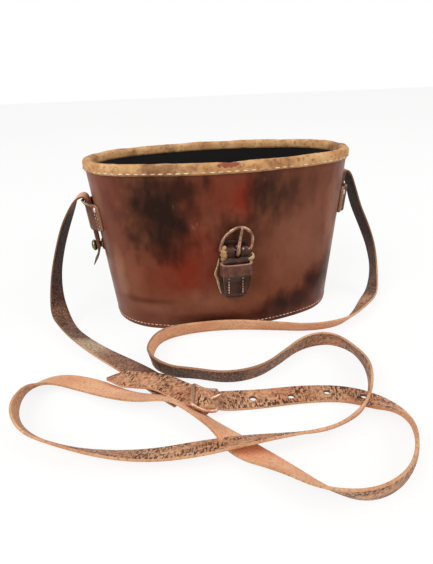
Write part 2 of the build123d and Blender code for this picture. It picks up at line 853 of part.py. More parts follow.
# The short strap's end, pared thin, goes under the bar, round it and back over the strap as a flap
with BuildPart() as strap_buckle_fold:
    with BuildSketch(upright_plane):
        with BuildLine():
            Polyline(*under_bar, close=True)
        make_face()
        with BuildLine():
            Polyline(
                (flap_start, flap_height),
                (-2.2, flap_height),
                (0, bar_height + fold_inner_radius),
                (0, bar_height + fold_outer_radius),
                (-2.2, flap_height + fold_leather),
                (flap_start, flap_height + fold_leather),
                close=True,
            )
        make_face()
        with Locations((0, bar_height)):
            Circle(fold_outer_radius)
            Circle(fold_inner_radius, mode=Mode.SUBTRACT)
        with Locations((-1.5, bar_height)):
            Rectangle(3, 2 * fold_inner_radius, mode=Mode.SUBTRACT)
    extrude(amount=strap_width / 2, both=True)
    with BuildSketch(buckle_plane):
        Rectangle(6, slot_width - 0.4)
    extrude(amount=strap_width, mode=Mode.SUBTRACT)
finish(strap_buckle_fold, "strap_buckle_fold", tan_leather)

with BuildPart() as strap_buckle_prong:
    with BuildSketch(upright_plane):
        with Locations(Location((0, bar_height), prong_rise)):
            with Locations((prong_length / 2, 0)):
                SlotOverall(prong_length + prong_thickness, prong_thickness)
            Circle(prong_ring)
            Circle(fold_inner_radius, mode=Mode.SUBTRACT)
    extrude(amount=prong_width / 2, both=True)
finish(strap_buckle_prong, "strap_buckle_prong", metal)

# Where the long strap's two pieces are sewn together, a second ply lies on top
splice_middle = (-15, -138.3)
splice_length = 16.0
splice_ply = 1.0

with BuildPart() as strap_splice:
    with BuildSketch(Plane.XY.offset(crossing + strap_thickness / 2 + sewing_gap / 2)):
        with Locations(splice_middle):
            RectangleRounded(splice_length, strap_width, 0.8)
    extrude(amount=splice_ply)
finish(strap_splice, "strap_splice", tan_leather)
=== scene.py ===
"""Leather hard case for a pair of prism binoculars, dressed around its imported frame. Lengths are in
millimetres up to where a mesh is made, and the front of the case faces -Y."""

import random
from math import atan2, cos, pi, radians, sin, tan

import bmesh
import bpy
from mathutils import Matrix, Vector, noise


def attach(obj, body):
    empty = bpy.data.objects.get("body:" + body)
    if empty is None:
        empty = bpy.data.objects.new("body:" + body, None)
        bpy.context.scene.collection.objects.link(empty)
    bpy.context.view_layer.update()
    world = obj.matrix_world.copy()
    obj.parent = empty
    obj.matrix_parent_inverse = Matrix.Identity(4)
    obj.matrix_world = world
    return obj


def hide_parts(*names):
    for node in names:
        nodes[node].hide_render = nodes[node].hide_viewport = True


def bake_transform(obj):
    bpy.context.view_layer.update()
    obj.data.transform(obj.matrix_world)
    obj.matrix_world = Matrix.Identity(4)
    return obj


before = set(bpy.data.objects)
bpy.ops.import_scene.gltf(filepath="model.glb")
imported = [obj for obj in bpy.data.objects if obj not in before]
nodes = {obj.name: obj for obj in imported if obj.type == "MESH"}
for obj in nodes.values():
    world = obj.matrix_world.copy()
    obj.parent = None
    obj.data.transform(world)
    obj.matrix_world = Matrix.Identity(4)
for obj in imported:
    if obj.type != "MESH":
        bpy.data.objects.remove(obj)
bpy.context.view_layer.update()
scene = bpy.context.scene
scene.view_settings.view_transform = "Standard"
mm = 0.001

# ---------------------------------------------------------------- camera, floor and light
# The case stands on a plain pale table and is looked down on from a little to its left. Two large
# soft lamps and an even sky light it, and the table shows white to the camera and in reflections.

camera_place = Vector((-44.95, -268.91, 134.72)) * mm
camera_turn = radians(8.698)
camera_pitch = radians(24.520)
camera_roll = radians(-2.059)
picture_width, focal_length = 433, 444.74  # pixels
sensor_width = 36

ahead = Vector(
    (sin(camera_turn) * cos(camera_pitch), cos(camera_turn) * cos(camera_pitch), -sin(camera_pitch))
)
level_right = Vector((cos(camera_turn), -sin(camera_turn), 0))
level_up = level_right.cross(ahead)
camera_right = level_right * cos(camera_roll) + level_up * sin(camera_roll)
camera_up = level_up * cos(camera_roll) - level_right * sin(camera_roll)
camera_data = bpy.data.cameras.new("camera")
camera_data.sensor_fit = "HORIZONTAL"
camera_data.sensor_width = sensor_width
camera_data.lens = focal_length / picture_width * sensor_width
camera_data.clip_start = 0.01
camera = bpy.data.objects.new("camera", camera_data)
scene.collection.objects.link(camera)
scene.camera = camera
camera.matrix_world = Matrix.Translation(camera_place) @ Matrix(
    (camera_right, camera_up, -ahead)
).transposed().to_4x4()


def colour(red, green, blue):
    """A colour picked on screen, 0 to 255, as the shaders want it."""
    channels = [c / 255 for c in (red, green, blue)]
    linear = [c / 12.92 if c < 0.04045 else ((c + 0.055) / 1.055) ** 2.4 for c in channels]
    return (*linear, 1)


def add(tree, kind, inputs=None, **settings):
    """A shader node, with its settings, and its sockets filled by values or by other sockets."""
    made = tree.nodes.new("ShaderNode" + kind)
    for name, value in settings.items():
        setattr(made, name, value)
    for name, value in (inputs or {}).items():
        if isinstance(value, bpy.types.NodeSocket):
            tree.links.new(value, made.inputs[name])
        else:
            made.inputs[name].default_value = value
    return made


def add_light_test(tree):
    """1 for what the camera, a reflection or a clear part sees, and 0 for what lights the object."""
    path = add(tree, "LightPath").outputs
    seen = path["Is Camera Ray"]
    for ray in ("Is Glossy Ray", "Is Transmission Ray"):
        seen = add(tree, "Math", {0: seen, 1: path[ray]}, operation="MAXIMUM").outputs[0]
    return seen


floor_shape = bmesh.new()
bmesh.ops.create_grid(floor_shape, x_segments=4, y_segments=4, size=4.0)
floor_mesh = bpy.data.meshes.new("floor")
floor_shape.to_mesh(floor_mesh)
floor_shape.free()
floor = bpy.data.objects.new("floor", floor_mesh)
scene.collection.objects.link(floor)
white = colour(255, 255, 255)
floor_finish = bpy.data.materials.new("pale_table")
floor_finish.use_nodes = True
tree = floor_finish.node_tree
tree.nodes.clear()
seen = add_light_test(tree)
share = add(tree, "Math", {0: seen, 1: 0.8}, operation="MULTIPLY")
matt = add(tree, "BsdfDiffuse", {"Color": colour(225, 225, 223)})
shown_white = add(tree, "Emission", {"Color": white, "Strength": 1.07})
mixed = add(tree, "MixShader", {0: share.outputs[0], 1: matt.outputs[0], 2: shown_white.outputs[0]})
add(tree, "OutputMaterial", {"Surface": mixed.outputs[0]})
floor_mesh.materials.append(floor_finish)

sky = bpy.data.worlds.new("sky")
scene.world = sky
sky.use_nodes = True
tree = sky.node_tree
tree.nodes.clear()
seen = add_light_test(tree)
even_light = add(tree, "Background", {"Color": white, "Strength": 0.55})
shown_sky = add(tree, "Background", {"Color": white, "Strength": 1.0})
mixed = add(tree, "MixShader", {0: seen, 1: even_light.outputs[0], 2: shown_sky.outputs[0]})
add(tree, "OutputWorld", {"Surface": mixed.outputs[0]})

for lamp_name, lamp_place, lamp_size, lamp_power in (
    ("lamp_left", (-700, -600, 900), 700, 7.5),
    ("lamp_right", (750, -350, 800), 600, 3.5),
):
    lamp_data = bpy.data.lights.new(lamp_name, "AREA")
    lamp_data.size = lamp_size * mm
    lamp_data.energy = lamp_power
    lamp = bpy.data.objects.new(lamp_name, lamp_data)
    scene.collection.objects.link(lamp)
    lamp.location = Vector(lamp_place) * mm
    lamp.rotation_euler = (Vector((0, 0, 50)) * mm - lamp.location).to_track_quat("-Z", "Y").to_euler()

# ---------------------------------------------------------------- shoulder strap
# One long strap and one short one, cut from thin harness leather: dark, cracked grain outside and
# tan suede inside. Both leave the case through its side loops and meet at the strap's buckle.

strap_width = 12.0
strap_thickness = 1.2


def new_finish(name, **settings):
    """A material with one principled shader, whose even values are set on its own sockets."""
    finish = bpy.data.materials.new(name)
    finish.use_nodes = True
    shader = finish.node_tree.nodes["Principled BSDF"]
    for socket, value in settings.items():
        shader.inputs[socket.replace("_", " ")].default_value = value
    return finish, finish.node_tree, shader


def place_input(tree, scale=(1, 1, 1), centre=(0, 0, 0), by="Object"):
    """Coordinates of the surface, moved to a centre (mm) and stretched."""
    place = add(tree, "TexCoord")
    moved = [-c * s * mm for c, s in zip(centre, scale)]
    return add(tree, "Mapping", {0: place.outputs[by], "Location": moved, "Scale": scale}).outputs[0]


def grain(tree, size, detail, stretch=(1, 1, 1), by="Object", rough=0.55, centre=(0, 0, 0)):
    """Noise from 0 to 1 whose blotches are about this many millimetres across."""
    vector = place_input(tree, stretch, centre, by)
    settings = {"Vector": vector, "Scale": 1 / (size * mm), "Detail": detail, "Roughness": rough}
    return add(tree, "TexNoise", settings).outputs["Fac"]


def steps(tree, factor, low, high, start=0.0, end=1.0):
    """A factor stretched so that low gives start and high gives end, held there beyond them."""
    settings = {"Value": factor, "From Min": low, "From Max": high, "To Min": start, "To Max": end}
    return add(tree, "MapRange", settings, clamp=True).outputs[0]


def blotches(tree, size, detail, low, high, start=0.0, end=1.0, **place):
    """Blotches of this size: grain stretched so that low gives start and high gives end."""
    return steps(tree, grain(tree, size, detail, **place), low, high, start, end)


def mix(tree, factor, first, second):
    """Two colours mixed by a factor, each a socket or a colour picked on screen."""
    first, second = (c if isinstance(c, bpy.types.NodeSocket) else colour(*c) for c in (first, second))
    settings = {"Factor": factor, 6: first, 7: second}  # the sockets A and B of the colours
    return add(tree, "Mix", settings, data_type="RGBA").outputs[2]


def multiply(tree, first, second, operation="MULTIPLY"):
    """Two factors multiplied, or joined by another operation."""
    return add(tree, "Math", {0: first, 1: second}, operation=operation).outputs[0]


def colour_with(tree, shader, surface):
    """Gives a shader its colour."""
    tree.links.new(surface, shader.inputs["Base Color"])


def bump(tree, shader, height, distance, strength=0.6):
    """Raises the surface by a height factor, on top of what has raised it already."""
    settings = {"Height": height, "Distance": distance * mm, "Strength": strength}
    if shader.inputs["Normal"].is_linked:
        settings["Normal"] = shader.inputs["Normal"].links[0].from_socket
    tree.links.new(add(tree, "Bump", settings).outputs[0], shader.inputs["Normal"])


def length_along(tree):
    """How far a point lies from the fixed end of a strap, in metres."""
    return add(tree, "SeparateXYZ", {0: add(tree, "TexCoord").outputs["UV"]}).outputs[0]


def between(tree, along, rise, fall, share=1.0):
    """A factor that comes up over one pair of lengths (mm) and goes down again over another."""
    risen = steps(tree, along, rise[0] * mm, rise[1] * mm)
    return multiply(tree, risen, steps(tree, along, fall[0] * mm, fall[1] * mm, share, 0))


def strap_grain_finish(name, dark_until, mottled_until, bands):
    """Cracked strap leather: dark over the first stretch from its fixed end, then mottled, then worn
    to tan. Each band is toned to another colour between two lengths (mm)."""
    finish, tree, shader = new_finish(name, Roughness=0.6, Specular_IOR_Level=0.25)
    along = length_along(tree)
    blotch = grain(tree, 22, 4)
    fine = grain(tree, 1.6, 4)
    specks = grain(tree, 0.9, 5, centre=(4, 4, 9))
    tan_worn = mix(tree, steps(tree, blotch, 0.35, 0.65), (212, 148, 108), (236, 182, 142))
    tan_worn = mix(tree, steps(tree, fine, 0.42, 0.72, 0, 0.9), tan_worn, (130, 82, 60))
    smoked = grain(tree, 30, 3, centre=(40, 15, 0))
    tan_worn = mix(tree, steps(tree, smoked, 0.54, 0.66, 0, 0.6), tan_worn, (112, 76, 62))
    dark = mix(tree, steps(tree, fine, 0.35, 0.7), (42, 25, 17), (78, 49, 35))
    mottled = mix(tree, steps(tree, specks, 0.42, 0.66), (108, 74, 60), (180, 136, 112))
    wander = add(tree, "Math", {0: blotch, 1: 0.02, 2: along}, operation="MULTIPLY_ADD").outputs[0]
    past_dark = steps(tree, wander, (dark_until - 10) * mm, (dark_until + 30) * mm)
    surface = mix(tree, past_dark, dark, mottled)
    past_mottled = steps(tree, wander, (mottled_until + 4) * mm, (mottled_until + 16) * mm)
    surface = mix(tree, past_mottled, surface, tan_worn)
    cracks = grain(tree, 1 / 1.1, 2, stretch=(1, 0.28, 1), by="UV", rough=0.7)
    where = blotches(tree, 11, 3, 0.36, 0.54, centre=(7, 31, 0))
    cracks = multiply(tree, steps(tree, cracks, 0.5, 0.57), where)
    surface = mix(tree, multiply(tree, cracks, 0.9), surface, (40, 24, 18))
    for low, high, shade, share in bands:
        inside = between(tree, along, (low - 3, low + 3), (high - 10, high))
        inside = multiply(tree, inside, steps(tree, specks, 0.36, 0.56, share * 0.3, share))
        surface = mix(tree, inside, surface, shade)
    colour_with(tree, shader, surface)
    bump(tree, shader, fine, 0.25)
    bump(tree, shader, multiply(tree, 1.0, cracks, "SUBTRACT"), 0.5, 0.8)
    return finish


def suede_finish(name, first, second, speckle, dark_until=None, dark_run=(2000, 3000)):
    """The flesh side or a cut edge of leather: matt, furry and speckled. A strap's edge is darkened
    over the first stretch from its fixed end and over one more run, which may lie past its end."""
    finish, tree, shader = new_finish(name, Roughness=0.9, Sheen_Weight=0.15, Specular_IOR_Level=0.2)
    surface = mix(tree, blotches(tree, 14, 4, 0.35, 0.68), first, second)
    surface = mix(tree, blotches(tree, 0.9, 3, 0.5, 0.72, 0, 0.75), surface, speckle)
    if dark_until:
        along = length_along(tree)
        worn = steps(tree, along, (dark_until - 15) * mm, (dark_until + 15) * mm, 0.15, 1)
        surface = mix(tree, worn, (104, 66, 44), surface)
        low, high = dark_run
        soiled = between(tree, along, (low, low + 20), (high - 30, high), 0.6)
        surface = mix(tree, soiled, surface, (120, 82, 60))
    colour_with(tree, shader, surface)
    bump(tree, shader, grain(tree, 0.7, 3), 0.3, 0.7)
    return finish


strap_flesh = suede_finish("strap_flesh", (234, 166, 120), (248, 194, 150), (178, 116, 82))
strap_edge_shades = ((200, 144, 104), (226, 178, 138), (146, 96, 68))
strap_edge = suede_finish("strap_edge", *strap_edge_shades)


def curve_mesh(points, cyclic, resolution, wire_radius=0.0, taper=None):
    """Mesh of the smooth curve that a row of control points guides: a bare line, or round wire."""
    curve = bpy.data.curves.new("line", "CURVE")
    curve.dimensions = "3D"
    curve.resolution_u = resolution
    curve.bevel_depth = wire_radius
    curve.bevel_resolution = 5
    curve.use_fill_caps = True
    spline = curve.splines.new("NURBS")
    spline.points.add(len(points) - 1)
    for index, (made, point) in enumerate(zip(spline.points, points)):
        made.co = (*point, 1)
        made.radius = taper[index] if taper else 1.0
    spline.order_u = 3
    spline.use_cyclic_u = cyclic
    spline.use_endpoint_u = not cyclic
    holder = bpy.data.objects.new("line", curve)
    mesh = bpy.data.meshes.new_from_object(holder)
    bpy.data.objects.remove(holder)
    bpy.data.curves.remove(curve)
    return mesh


def smooth_line(points, cyclic=False):
    """Points along a smooth curve, in the unit of its control points."""
    mesh = curve_mesh(points, cyclic, 8)
    line = [vertex.co.copy() for vertex in mesh.vertices]
    bpy.data.meshes.remove(mesh)
    return line


def strip_shape(centres, edges, widths=None, columns=6, cyclic=False, crown=0.0):
    """A strip of leather's middle sheet. Its middle follows centres, and edges run along one side."""
    count = len(centres)
    gone = [0.0]
    for before, after in zip(centres, centres[1:]):
        gone.append(gone[-1] + (after - before).length)
    shape = bmesh.new()
    bmesh.ops.create_grid(shape, x_segments=count - 1, y_segments=columns, size=1.0)
    marks = shape.loops.layers.uv.new("UVMap")
    places = {}
    for vertex in shape.verts:
        station = round((vertex.co.x + 1) / 2 * (count - 1))
        places[vertex] = (station, vertex.co.y)
    for vertex, (station, side) in places.items():
        centre = centres[station]
        reach = edges[station] - centre
        if widths is not None:
            reach = reach.normalized() * widths[station] / 2
        heading = centres[min(station + 1, count - 1)] - centres[max(station - 1, 0)]
        upward = heading.cross(reach).normalized() * crown * (1 - side * side)
        vertex.co = (centre + reach * side + upward) * mm
    for face in shape.faces:
        for loop in face.loops:
            station, side = places[loop.vert]
            half = (edges[station] - centres[station]).length
            loop[marks].uv = (gone[station] * mm, side * half * mm)
    if cyclic:
        bmesh.ops.remove_doubles(shape, verts=shape.verts, dist=0.00002)
    return shape


def make_piece(name, shape, finishes, body="case"):
    """Puts a shape in the scene as a piece of the object, with its finishes, riding on a body."""
    mesh = bpy.data.meshes.new(name)
    shape.to_mesh(mesh)
    shape.free()
    for finish in finishes:
        mesh.materials.append(finish)
    mesh.shade_smooth()
    piece = bpy.data.objects.new(name, mesh)
    scene.collection.objects.link(piece)
    if body:
        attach(piece, body)
    return piece


def thicken(piece, thickness, edge_radius=0.4):
    """Gives a sheet its thickness about its middle, rounds its edges and applies both."""
    wall = piece.modifiers.new("wall", "SOLIDIFY")
    wall.thickness = thickness * mm
    wall.offset = 0
    wall.material_offset, wall.material_offset_rim = 1, 2  # the back, and the cut edges
    rounding = piece.modifiers.new("rounding", "BEVEL")
    rounding.width = edge_radius * mm
    rounding.segments = 2
    rounding.limit_method = "ANGLE"
    rounding.angle_limit = radians(50)
    apply_modifiers(piece)


def apply_modifiers(piece):
    """Makes a piece's modifiers part of its mesh."""
    bpy.context.view_layer.update()
    finished = bpy.data.meshes.new_from_object(piece.evaluated_get(bpy.context.evaluated_depsgraph_get()))
    piece.modifiers.clear()
    old = piece.data
    piece.data = finished
    bpy.data.meshes.remove(old)
    finished.name = piece.name
    finished.shade_smooth()


def strap_lines(route):
    """Middle and one edge of a strap. Each place of a route is x, y, z and the way that the strap's
    width points: as a direction where it hangs, and as degrees out of level where it lies."""
    points = [Vector(place[:3]) for place in route]
    sides = []
    for index, place in enumerate(route):
        heading = points[min(index + 1, len(points) - 1)] - points[max(index - 1, 0)]
        heading.normalize()
        if isinstance(place[3], tuple):
            width_way = Vector(place[3])
            width_way -= heading * width_way.dot(heading)
        else:
            level = Vector((-heading.y, heading.x, 0)).normalized()
            width_way = level * cos(radians(place[3])) + heading.cross(level) * sin(radians(place[3]))
        sides.append(points[index] + width_way.normalized() * strap_width / 2)
    return smooth_line(points), smooth_line(sides)


forwards, backwards = (0, -1, 0), (0, 1, 0)
right_end = [(76.1, 0, 54), (76.7, 0, 60), (77.6, 0, 71), (78.5, 0, 80.6), (82.2, 0, 79.6)]
long_route = [(*place, forwards) for place in right_end] + [
    (86.2, 0, 68.5, (0.1, -1, 0)), (90.6, 0, 56.2, (0.16, -1, 0)), (96, -3.5, 43.5, (0.16, -1, 0)),
    (100.3, -8, 30, (0.02, -1, 0)), (101, -14, 17, (-0.2, -0.98, 0)), (96.4, -23.2, 7.5, (-0.3, -0.95, 0)),
    (88.3, -33.8, 4.8, 32), (76.8, -46.6, 4.8, 46), (61.4, -59.5, 4.9, 48), (40.1, -61.4, 4.7, 45),
    (18.8, -54.7, 5.1, 51), (-4.8, -48.3, 5.3, 55), (-27.3, -47.6, 5.3, 55), (-43.2, -51.5, 5.7, 62),
    (-49.8, -63.2, 6, 84), (-51.2, -76.3, 5.9, 108), (-41.5, -87.4, 5.6, 119), (-29.8, -91.2, 5.5, 122),
    (-15.6, -98.1, 5.5, 121), (0.9, -96.8, 5.6, 119), (14.5, -87.7, 5.8, 113), (26.8, -78, 5.8, 112),
    (37.6, -74.6, 5.7, 115), (46.3, -75.7, 5.5, 122), (52.3, -83.2, 5.4, 124), (53.4, -93.9, 5.7, 117),
    (52.1, -103.1, 6.8, 105), (48.9, -113.3, 8.8, 94), (44.5, -122.5, 8.9, 86), (38.7, -130.1, 6.6, 75),
    (29, -136.1, 5.7, 58), (17.1, -139.9, 5.4, 48), (-0.8, -141.1, 7.4, 41), (-18, -140.6, 7, 28),
    (-34.6, -140, 5.7, 20), (-52.2, -138, 3.8, 25), (-69.2, -134.8, 4.4, 36), (-86.7, -128.1, 5.3, 50),
    (-102, -118.9, 5.4, 55), (-110.5, -105.7, 6, 79), (-110.5, -92.8, 6, 113), (-106.9, -82.6, 3.6, 152),
    (-97.5, -76.8, 2.3, 164), (-81, -84.8, 1.8, 172), (-68.2, -95.6, 2.9, 161), (-56.6, -102.5, 3.8, 155),
    (-44, -106, 5, 150), (-37.5, -112.2, 4.9, 140), (-30.5, -121.6, 4.6, 138), (-24, -129.4, 3.8, 144),
    (-17.5, -139, 1.3, 174), (-3.9, -154.3, 4.3, 146), (6.1, -166.1, 5, 134), (19.1, -172.6, 5.8, 115),
    (33, -169.4, 6, 104), (44.2, -159.7, 6, 90), (51.2, -147.9, 6.1, 73), (53, -135.6, 3.8, 30),
    (48, -124.5, 1.7, 8), (36.9, -115.6, 1.3, 5), (19.1, -111.8, 1.2, 3), (-0.2, -111.2, 1.2, 0),
    (-9.6, -110.6, 1.4, -3), (-17, -110.2, 1.9, -4), (-21.8, -110.9, 3, -4), (-27, -113, 7.4, -4),
    (-32.6, -110, 6.6, -3), (-38.4, -103.2, 5.6, 0), (-46.6, -93, 4.5, 0), (-57, -88.5, 3.7, 0),
    (-65.3, -85.6, 3.7, 0), (-72.4, -85.4, 4.4, 0),
]
left_end = [
    (-80.6, 0, 33), (-76.2, 0, 39.3), (-76.5, 0, 46.5), (-77.4, 0, 56), (-78, 0, 67), (-79.2, 0, 76),
    (-85.3, 0, 74.4),
]
short_route = [(*place, backwards) for place in left_end] + [
    (-89.6, 0, 66.5, (0.26, 0.97, 0)), (-94.6, 0, 56.8, (0.34, 0.94, 0)), (-99.5, -2.5, 44, (0.3, 0.95, 0)),
    (-103.5, -6, 30, (0.31, 0.95, 0)), (-104.7, -11, 17, (0.37, 0.93, 0)),
    (-103, -18.8, 7.8, (0.5, 0.87, 0)), (-97.6, -29.7, 4.4, -32), (-89.4, -42.5, 3.5, -25),
    (-77.7, -57.6, 2.9, -18), (-64.7, -71, 1.9, -8), (-54, -82.5, 1.3, -2), (-45, -94.9, 0.9, 0),
    (-37, -104.6, 1, 0),
]

long_middle, long_side = strap_lines(long_route)
long_widths = [strap_width] * len(long_middle)
for back, width in enumerate((1.2, 3.4, 5.8, 8.0, 9.8, 11.2)):  # its end is cut to a point
    long_widths[-1 - back] = width
long_bands = (  # from, to, colour and share
    (262, 352, (52, 33, 25), 0.9),
    (346, 378, (96, 64, 48), 0.7),
    (604, 672, (228, 168, 124), 0.85),
    (1010, 1050, (80, 50, 40), 0.8),
)
long_grain = strap_grain_finish("strap_grain_long", 95, 122, long_bands)
long_edge = suede_finish("strap_edge_long", *strap_edge_shades, dark_until=95, dark_run=(250, 385))
long_shape = strip_shape(long_middle, long_side, long_widths)
long_strap = make_piece("shoulder_strap_long", long_shape, (long_grain, strap_flesh, long_edge))
thicken(long_strap, strap_thickness)

short_middle, short_side = strap_lines(short_route)
short_bands = (
    (36, 60, (204, 146, 100), 0.8),
    (153, 178, (228, 200, 164), 0.95),
    (170, 200, (188, 142, 116), 0.6),
)
short_grain = strap_grain_finish("strap_grain_short", 105, 400, short_bands)
short_edge = suede_finish("strap_edge_short", *strap_edge_shades, dark_until=150)
short_shape = strip_shape(short_middle, short_side)
short_strap = make_piece("shoulder_strap_short", short_shape, (short_grain, strap_flesh, short_edge))
thicken(short_strap, strap_thickness)
for vertex in short_strap.data.vertices:  # the tail below the stud is pared thin
    x, height = vertex.co.x / mm, vertex.co.z / mm
    if height < 41 and x > -83 and abs(vertex.co.y) < 7 * mm:
        middle = -76.4 - max(0, 39.5 - height) * 0.62
        vertex.co.x = (middle + (x - middle) * (0.4 + 0.6 * max(0, height - 33) / 8)) * mm


def cut_out(piece, shape, finishes=(), folded=False):
    """Cuts a shape out of a piece. A piece that crosses or touches itself has to be called folded."""
    cutter = make_piece("cutter", shape, finishes, None)
    cut = piece.modifiers.new("cut", "BOOLEAN")
    cut.object = cutter
    cut.operation = "DIFFERENCE"
    cut.use_self = folded
    apply_modifiers(piece)
    bpy.data.objects.remove(cutter)


def punched(places, radius, depth, segments):
    """Round holes to cut out of leather, each given by its middle and its turn."""
    holes = bmesh.new()
    for place in places:
        bmesh.ops.create_cone(
            holes, cap_ends=True, segments=segments, radius1=radius * mm, radius2=radius * mm,
            depth=depth * mm, matrix=place,
        )
    return holes


# The last stretch of the long strap is punched for the buckle's prong
hole_places = ((-36.2, -104.9), (-5.9, -110.9), (11.5, -112.9), (28.5, -113.4), (43.5, -119.8))
hole_places = [Matrix.Translation(Vector((*place, 0)) * mm) for place in hole_places]
holes = punched(hole_places, radius=1.6, depth=12, segments=20)
for face in holes.faces:
    face.material_index = 2  # the inside of a hole shows the raw edge
cut_out(long_strap, holes, long_strap.data.materials, folded=True)

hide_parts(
    "strap_end_right", "strap_fall", "strap_front_run", "strap_right_loop", "strap_left_loop",
    "strap_front_loop", "strap_holed_run", "strap_tail",
)
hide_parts("strap_end_left", "strap_short")

# The long strap is sewn together from two lengths, and two rows of small stitches show the join
thread_finish, tree, shader = new_finish("linen_thread", Roughness=0.85, Sheen_Weight=0.2)
soiled = mix(tree, blotches(tree, 5, 3, 0.4, 0.65), (238, 214, 186), (190, 150, 118))
colour_with(tree, shader, soiled)


def stitch_row(name, places, length, thickness=0.55, body="case"):
    """Stitches of one seam. Each place is a middle, the way along the seam and the way outwards."""
    row = bmesh.new()
    for middle, along, outward in places:
        along = along.normalized()
        outward = (outward - along * outward.dot(along)).normalized()
        turn = Matrix((along, outward.cross(along), outward)).transposed().to_4x4()
        size = Matrix.Diagonal((length / 2, thickness / 2, thickness / 2 * 0.8, 1))
        lifted = middle + outward * thickness * 0.15  # the rest is sunk in the leather
        place = Matrix.Translation(lifted * mm) @ turn @ size @ Matrix.Scale(mm, 4)
        place @= Matrix.Rotation(pi / 2, 4, "Y")  # the poles lie along the seam
        bmesh.ops.create_uvsphere(row, u_segments=7, v_segments=5, radius=1.0, matrix=place)
    return make_piece(name, row, (thread_finish,), body)


splice_rows = []
for before, middle, after, side in zip(long_middle, long_middle[1:], long_middle[2:], long_side[1:]):
    if -26 < middle.x < -8 and middle.y < -137 and middle.z > 4:  # at the front, where it lies on top
        upwards = (after - before).cross(middle - side).normalized()
        for share in (-0.7, 0.72):
            place = middle + (side - middle) * share + upwards * strap_thickness / 2
            splice_rows.append((place, after - before, upwards))
stitches = stitch_row("splice_stitches", splice_rows, length=1.7)
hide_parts("strap_splice")

# ---------------------------------------------------------------- case body
# The wall is one sheet of moulded cowhide, brown and glazed, with darker hand marks and redder worn
# fields, and darker towards the bottom of the front. Painted into its colour are a sheen on both ends and
# partly on the pale patches low on the front, shade inside the front buckle's arch and the buckle's shadow
# to its right. The base is a pan of the same hide whose turned-up edge is sewn inside the wall.

mouth_half_width = 78.0
foot_half_width = 69.5
half_depth = 43.0
case_height = 96.0
join_turn = radians(67)  # where the oval's long side arcs meet its end arcs


def patch(tree, centre, reach, wander, edge=(0.15, 1.2)):
    """1 in a soft-edged patch round a centre, 0 outside. The wander given moves its edge in and out."""
    vector = place_input(tree, [1 / (r * mm) for r in reach], centre)
    away = add(tree, "VectorMath", {0: vector}, operation="LENGTH").outputs["Value"]
    return steps(tree, add(tree, "Math", {0: away, 1: wander}).outputs[0], *edge, 1, 0)


def cowhide(name, patches=()):
    """Glazed brown hide: cloudy browns, a fine pebbled grain, small scars and the patches given, which on
    the wall are stains together with painted sheen, painted shade and a painted shadow.
    """
    finish, tree, shader = new_finish(name, Specular_IOR_Level=0.2)
    shader.inputs["Specular Tint"].default_value = colour(255, 214, 190)
    cloud = grain(tree, 34, 4)
    brown = mix(tree, steps(tree, cloud, 0.34, 0.66), (108, 60, 43), (132, 76, 55))
    flecks = grain(tree, 7, 5, (1, 1, 0.6), centre=(3, 9, 1))
    runs = grain(tree, 10, 2.5, (1, 1, 0.5), centre=(30, 0, 8))
    soft = grain(tree, 8, 2.5, (1, 1, 0.7), centre=(3, 9, 1))
    wander = steps(tree, multiply(tree, runs, soft, "ADD"), 0.65, 1.35, -0.36, 0.36)
    for centre, reach, patch_colour, share in patches:
        brown = mix(tree, multiply(tree, patch(tree, centre, reach, wander), share), brown, patch_colour)
    brown = mix(tree, steps(tree, flecks, 0.5, 0.75, 0, 0.3), brown, (70, 32, 24))
    scars = blotches(tree, 1 / 0.42, 4, 0.68, 0.74, stretch=(1, 1, 0.4), rough=0.5)
    scars = multiply(tree, scars, blotches(tree, 20, 2, 0.5, 0.6, centre=(11, 0, 5)))
    brown = mix(tree, multiply(tree, scars, 0.35), brown, (160, 112, 88))
    colour_with(tree, shader, brown)
    dulled = blotches(tree, 13, 4, 0.3, 0.75, 0.3, 0.55, centre=(0, 7, 21))
    tree.links.new(dulled, shader.inputs["Roughness"])
    pebbles = add(tree, "TexVoronoi", {"Vector": place_input(tree), "Scale": 1300.0}).outputs["Distance"]
    bump(tree, shader, pebbles, 0.06, 0.35)
    bump(tree, shader, grain(tree, 16, 4, centre=(5, 5, 5)), 0.9, 0.35)
    return finish
